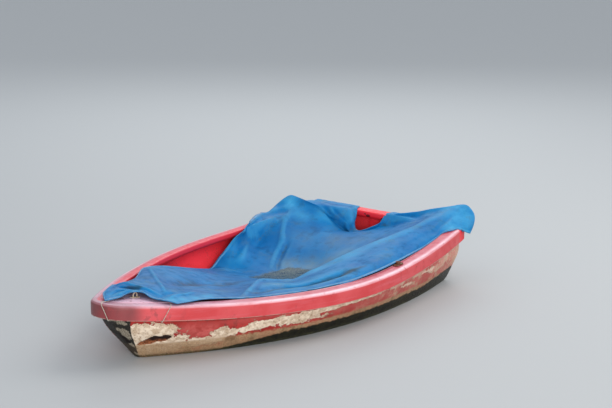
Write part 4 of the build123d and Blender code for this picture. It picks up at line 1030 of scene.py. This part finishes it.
def finish_tarp(ob):
    n = len(ob.data.vertices)
    co = np.zeros(n * 3)
    ob.data.vertices.foreach_get("co", co)
    co = soften(co.reshape(NU, NV, 3), np.ones((NU, NV, 1)), 2).reshape(-1, 3)
    for _ in range(4):
        co = clear(co)
        d = rim_inset(co)
        m = np.clip(1 - np.abs(d - RIM_WIDTH / 2) / (RIM_WIDTH * 0.9), 0, 1).reshape(NU, NV, 1)
        co = soften(co.reshape(NU, NV, 3), np.clip(m * 3, 0, 1), 2).reshape(-1, 3)
    co = clear(co)
    G = co.reshape(NU, NV, 3)
    near = G[:, :5].copy()
    for _ in range(10):
        near[1:-1] = 0.5 * near[1:-1] + 0.25 * (near[:-2] + near[2:])
    run = np.clip((G[:, 0, 0] + 1.32) / 0.15, 0, 1)[:, None, None] * np.clip((1.02 - G[:, 0, 0]) / 0.2, 0, 1)[:, None, None]
    G[:, :5] = G[:, :5] * (1 - run) + near * run
    G[:, :6, 2] -= 0.0022 * run[:, :, 0] * (1 - np.arange(6) / 6.0)[None, :]
    co = G.reshape(-1)
    ob.data.vertices.foreach_set("co", co)
    ob.data.update()
    G = co.reshape(NU, NV, 3)
    # where rain water stands in the low place of the sheet
    x, y, z = G[:, :, 0], G[:, :, 1], G[:, :, 2]
    i, j = np.divmod(np.arange(n), NV)
    fx, fy, fz = x.ravel(), y.ravel(), z.ravel()
    wet = np.exp(-((np.hypot((fx + 0.43) / 0.27, (fy + 0.12) / 0.21)) ** 3)) * np.clip((0.215 - fz) / 0.05, 0, 1)
    # the sheet has a paler folded hem; its ridges are made paler as a painted highlight, and its hollows and creases
    # darker as painted shade
    lap = fz.reshape(NU, NV)
    blur = lap.copy()
    for _ in range(14):
        b = blur.copy()
        b[1:-1, 1:-1] = (blur[:-2, 1:-1] + blur[2:, 1:-1] + blur[1:-1, :-2] + blur[1:-1, 2:]) / 4
        blur = b
    wide = blur.copy()
    for _ in range(60):
        b = wide.copy()
        b[1:-1, 1:-1] = (wide[:-2, 1:-1] + wide[2:, 1:-1] + wide[1:-1, :-2] + wide[1:-1, 2:]) / 4
        wide = b
    # painted shade in the broad hollows, and along the SHADE streaks below
    hollow = 0.22 * np.clip((wide - lap).ravel() / 0.020 - 0.15, 0, 1)
    spots2 = np.zeros(n)
    for streak in SHADE:
        for (ax, ay, ar, a), (bx, by, br, b) in zip(streak, streak[1:]):
            t = np.clip(((fx - ax) * (bx - ax) + (fy - ay) * (by - ay)) / ((bx - ax) ** 2 + (by - ay) ** 2), 0, 1)
            off = np.hypot(fx - ax - (bx - ax) * t, fy - ay - (by - ay) * t)
            spots2 = np.maximum(spots2, (a + (b - a) * t) * np.exp(-(off / (ar + (br - ar) * t)) ** 2))
    hollow = np.clip(np.maximum(hollow, spots2), 0, 1)
    ob.data.attributes.new("hollow", "FLOAT", "POINT").data.foreach_set("value", hollow.astype(np.float32))
    ridge = np.clip((lap - blur).ravel() / 0.004, 0, 1)
    hem = ((j < 3) | (j > NV - 4) | (i < 3) | (i > NU - 4)).astype(float)
    glow = np.zeros(n)
    dusty = np.zeros(n)
    for cx, cy, r, s in DUSTY:
        dusty = np.maximum(dusty, s * np.exp(-((fx - cx) ** 2 + (fy - cy) ** 2) / r ** 2))
    ob.data.attributes.new("dusty", "FLOAT", "POINT").data.foreach_set("value", dusty.astype(np.float32))
    for cx, cy, r, s in LIGHT:
        glow = np.maximum(glow, s * np.exp(-((fx - cx) ** 2 + (fy - cy) ** 2) / r ** 2))
    # paler hem, painted highlight on ridges and painted light at the LIGHT places
    pale = np.clip(0.40 * ridge + 0.5 * hem + glow, 0, 1)
    # darker in the creases as painted shade, and along the hem as dirt
    dirt_and_crease_shade = np.clip((blur - lap).ravel() / 0.014, 0, 1) + 0.4 * hem
    a = ob.data.color_attributes.new("wear", "FLOAT_COLOR", "POINT")
    a.data.foreach_set("color", np.stack([wet, pale, np.clip(dirt_and_crease_shade, 0, 1), np.ones(n)], axis=1).astype(np.float32).ravel())
    so = ob.modifiers.new("Solidify", "SOLIDIFY")
    so.thickness = 0.0022
    so.offset = 0.0
    return G


GRID = finish_tarp(tarp)
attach(tarp, "root")
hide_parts("tarpaulin")


def hem_piece():
    """Folded and welded edge all round, a second thickness laid on the sheet."""
    G = GRID
    rings = []
    for off in (0, 1, 2):
        a = [G[off, j] for j in range(off, NV - off)]
        b = [G[i, NV - 1 - off] for i in range(off + 1, NU - off)]
        c = [G[NU - 1 - off, j] for j in range(NV - 2 - off, off - 1, -1)]
        d = [G[i, off] for i in range(NU - 2 - off, off, -1)]
        rings.append(np.array(a + b + c + d))
    n = len(rings[0])
    outer = rings[0]
    inner = spaced3(rings[2], n)
    up = np.array([0, 0, 0.0026])
    verts = np.concatenate([outer + up, inner + up * 0.7, outer - up, inner - up * 0.7])
    faces = []
    for k in range(n):
        q = (k + 1) % n
        faces.append((k, q, n + q, n + k))
        faces.append((2 * n + k, 3 * n + k, 3 * n + q, 2 * n + q))
        faces.append((k, 2 * n + k, 2 * n + q, q))
        faces.append((n + k, n + q, 3 * n + q, 3 * n + k))
    return verts, faces


def spaced3(p, n):
    """n points round a closed 3-D loop, matched by fraction of index."""
    t = np.linspace(0, len(p), n, endpoint=False)
    k = np.floor(t).astype(int) % len(p)
    f = (t - np.floor(t))[:, None]
    return p[k] * (1 - f) + p[(k + 1) % len(p)] * f


hv, hf = hem_piece()
HEM_MAT = plain_material("tarp_hem", (66, 140, 188), (34, 112, 166), 0.42, 26.0, spot=(92, 104, 106), bump=0.3)
hem = add_mesh("tarp_hem", hv, hf, HEM_MAT)
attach(hem, "root")

# ------------------------------------------------------------------ floor at the waterline, open inside the hull
half0 = hull_half(0.003, 0.0, 0.0066)
waterline = []
for c in range(half0.shape[1]):
    col = half0[:, c]
    waterline.append((np.interp(0, col[:, 2], col[:, 0]), np.interp(0, col[:, 2], col[:, 1])))
w = np.array(waterline)
w = np.concatenate([w, (w[-2:0:-1] * np.array([1, -1]))])
ang = np.arctan2(w[:, 1], w[:, 0] + 0.1)
far = np.stack([np.cos(ang) * 30, np.sin(ang) * 30], axis=1)
fv = [(a, b, 0) for a, b in w] + [(a, b, 0) for a, b in far]
m = len(w)
ff = [(k, (k + 1) % m, m + (k + 1) % m, m + k) for k in range(m)]
FLOOR_MAT = bpy.data.materials.new("floor")
FLOOR_MAT.use_nodes = True
FLOOR_MAT.node_tree.nodes["Principled BSDF"].inputs["Base Color"].default_value = (0.50, 0.51, 0.51, 1)
FLOOR_MAT.node_tree.nodes["Principled BSDF"].inputs["Roughness"].default_value = 0.75
floor = add_mesh("floor", fv, ff, FLOOR_MAT, smooth=False)

# ------------------------------------------------------------------ light and camera
scene = bpy.context.scene
world = bpy.data.worlds.new("studio")
scene.world = world
world.use_nodes = True
world.node_tree.nodes["Background"].inputs[0].default_value = (0.86, 0.92, 1.0, 1)
world.node_tree.nodes["Background"].inputs[1].default_value = 0.72


def area(name, loc, aim, size, power, colour=(1, 1, 1)):
    l = bpy.data.lights.new(name, "AREA")
    l.shape = "RECTANGLE"
    l.size, l.size_y = size
    l.energy = power
    l.color = colour
    o = bpy.data.objects.new(name, l)
    o.location = loc
    o.rotation_mode = "QUATERNION"
    o.rotation_quaternion = (Vector(aim) - Vector(loc)).to_track_quat("-Z", "Y")
    scene.collection.objects.link(o)
    return o


area("key", (-3.5, 3.0, 6.0), (0, 0, 0.2), (5, 5), 190, (1.0, 0.98, 0.95))
area("back", (-6.0, -4.0, 4.5), (0, 0, 0.2), (6, 4), 130, (0.95, 0.98, 1.0))
area("fill", (7.0, 7.5, 2.6), (0, 0, 0.2), (5, 3), 520, (1.0, 0.97, 0.94))

cam_data = bpy.data.cameras.new("camera")
cam = bpy.data.objects.new("camera", cam_data)
scene.collection.objects.link(cam)
cam.location = (10.302, 8.242, 3.900)
cam.rotation_mode = "QUATERNION"
cam.rotation_quaternion = Vector((-0.7736, -0.5891, -0.2334)).to_track_quat("-Z", "Y")
cam_data.sensor_width = 36.0
cam_data.lens = 123.5
cam_data.clip_start, cam_data.clip_end = 0.1, 200
scene.camera = cam
scene.view_settings.view_transform = "Standard"
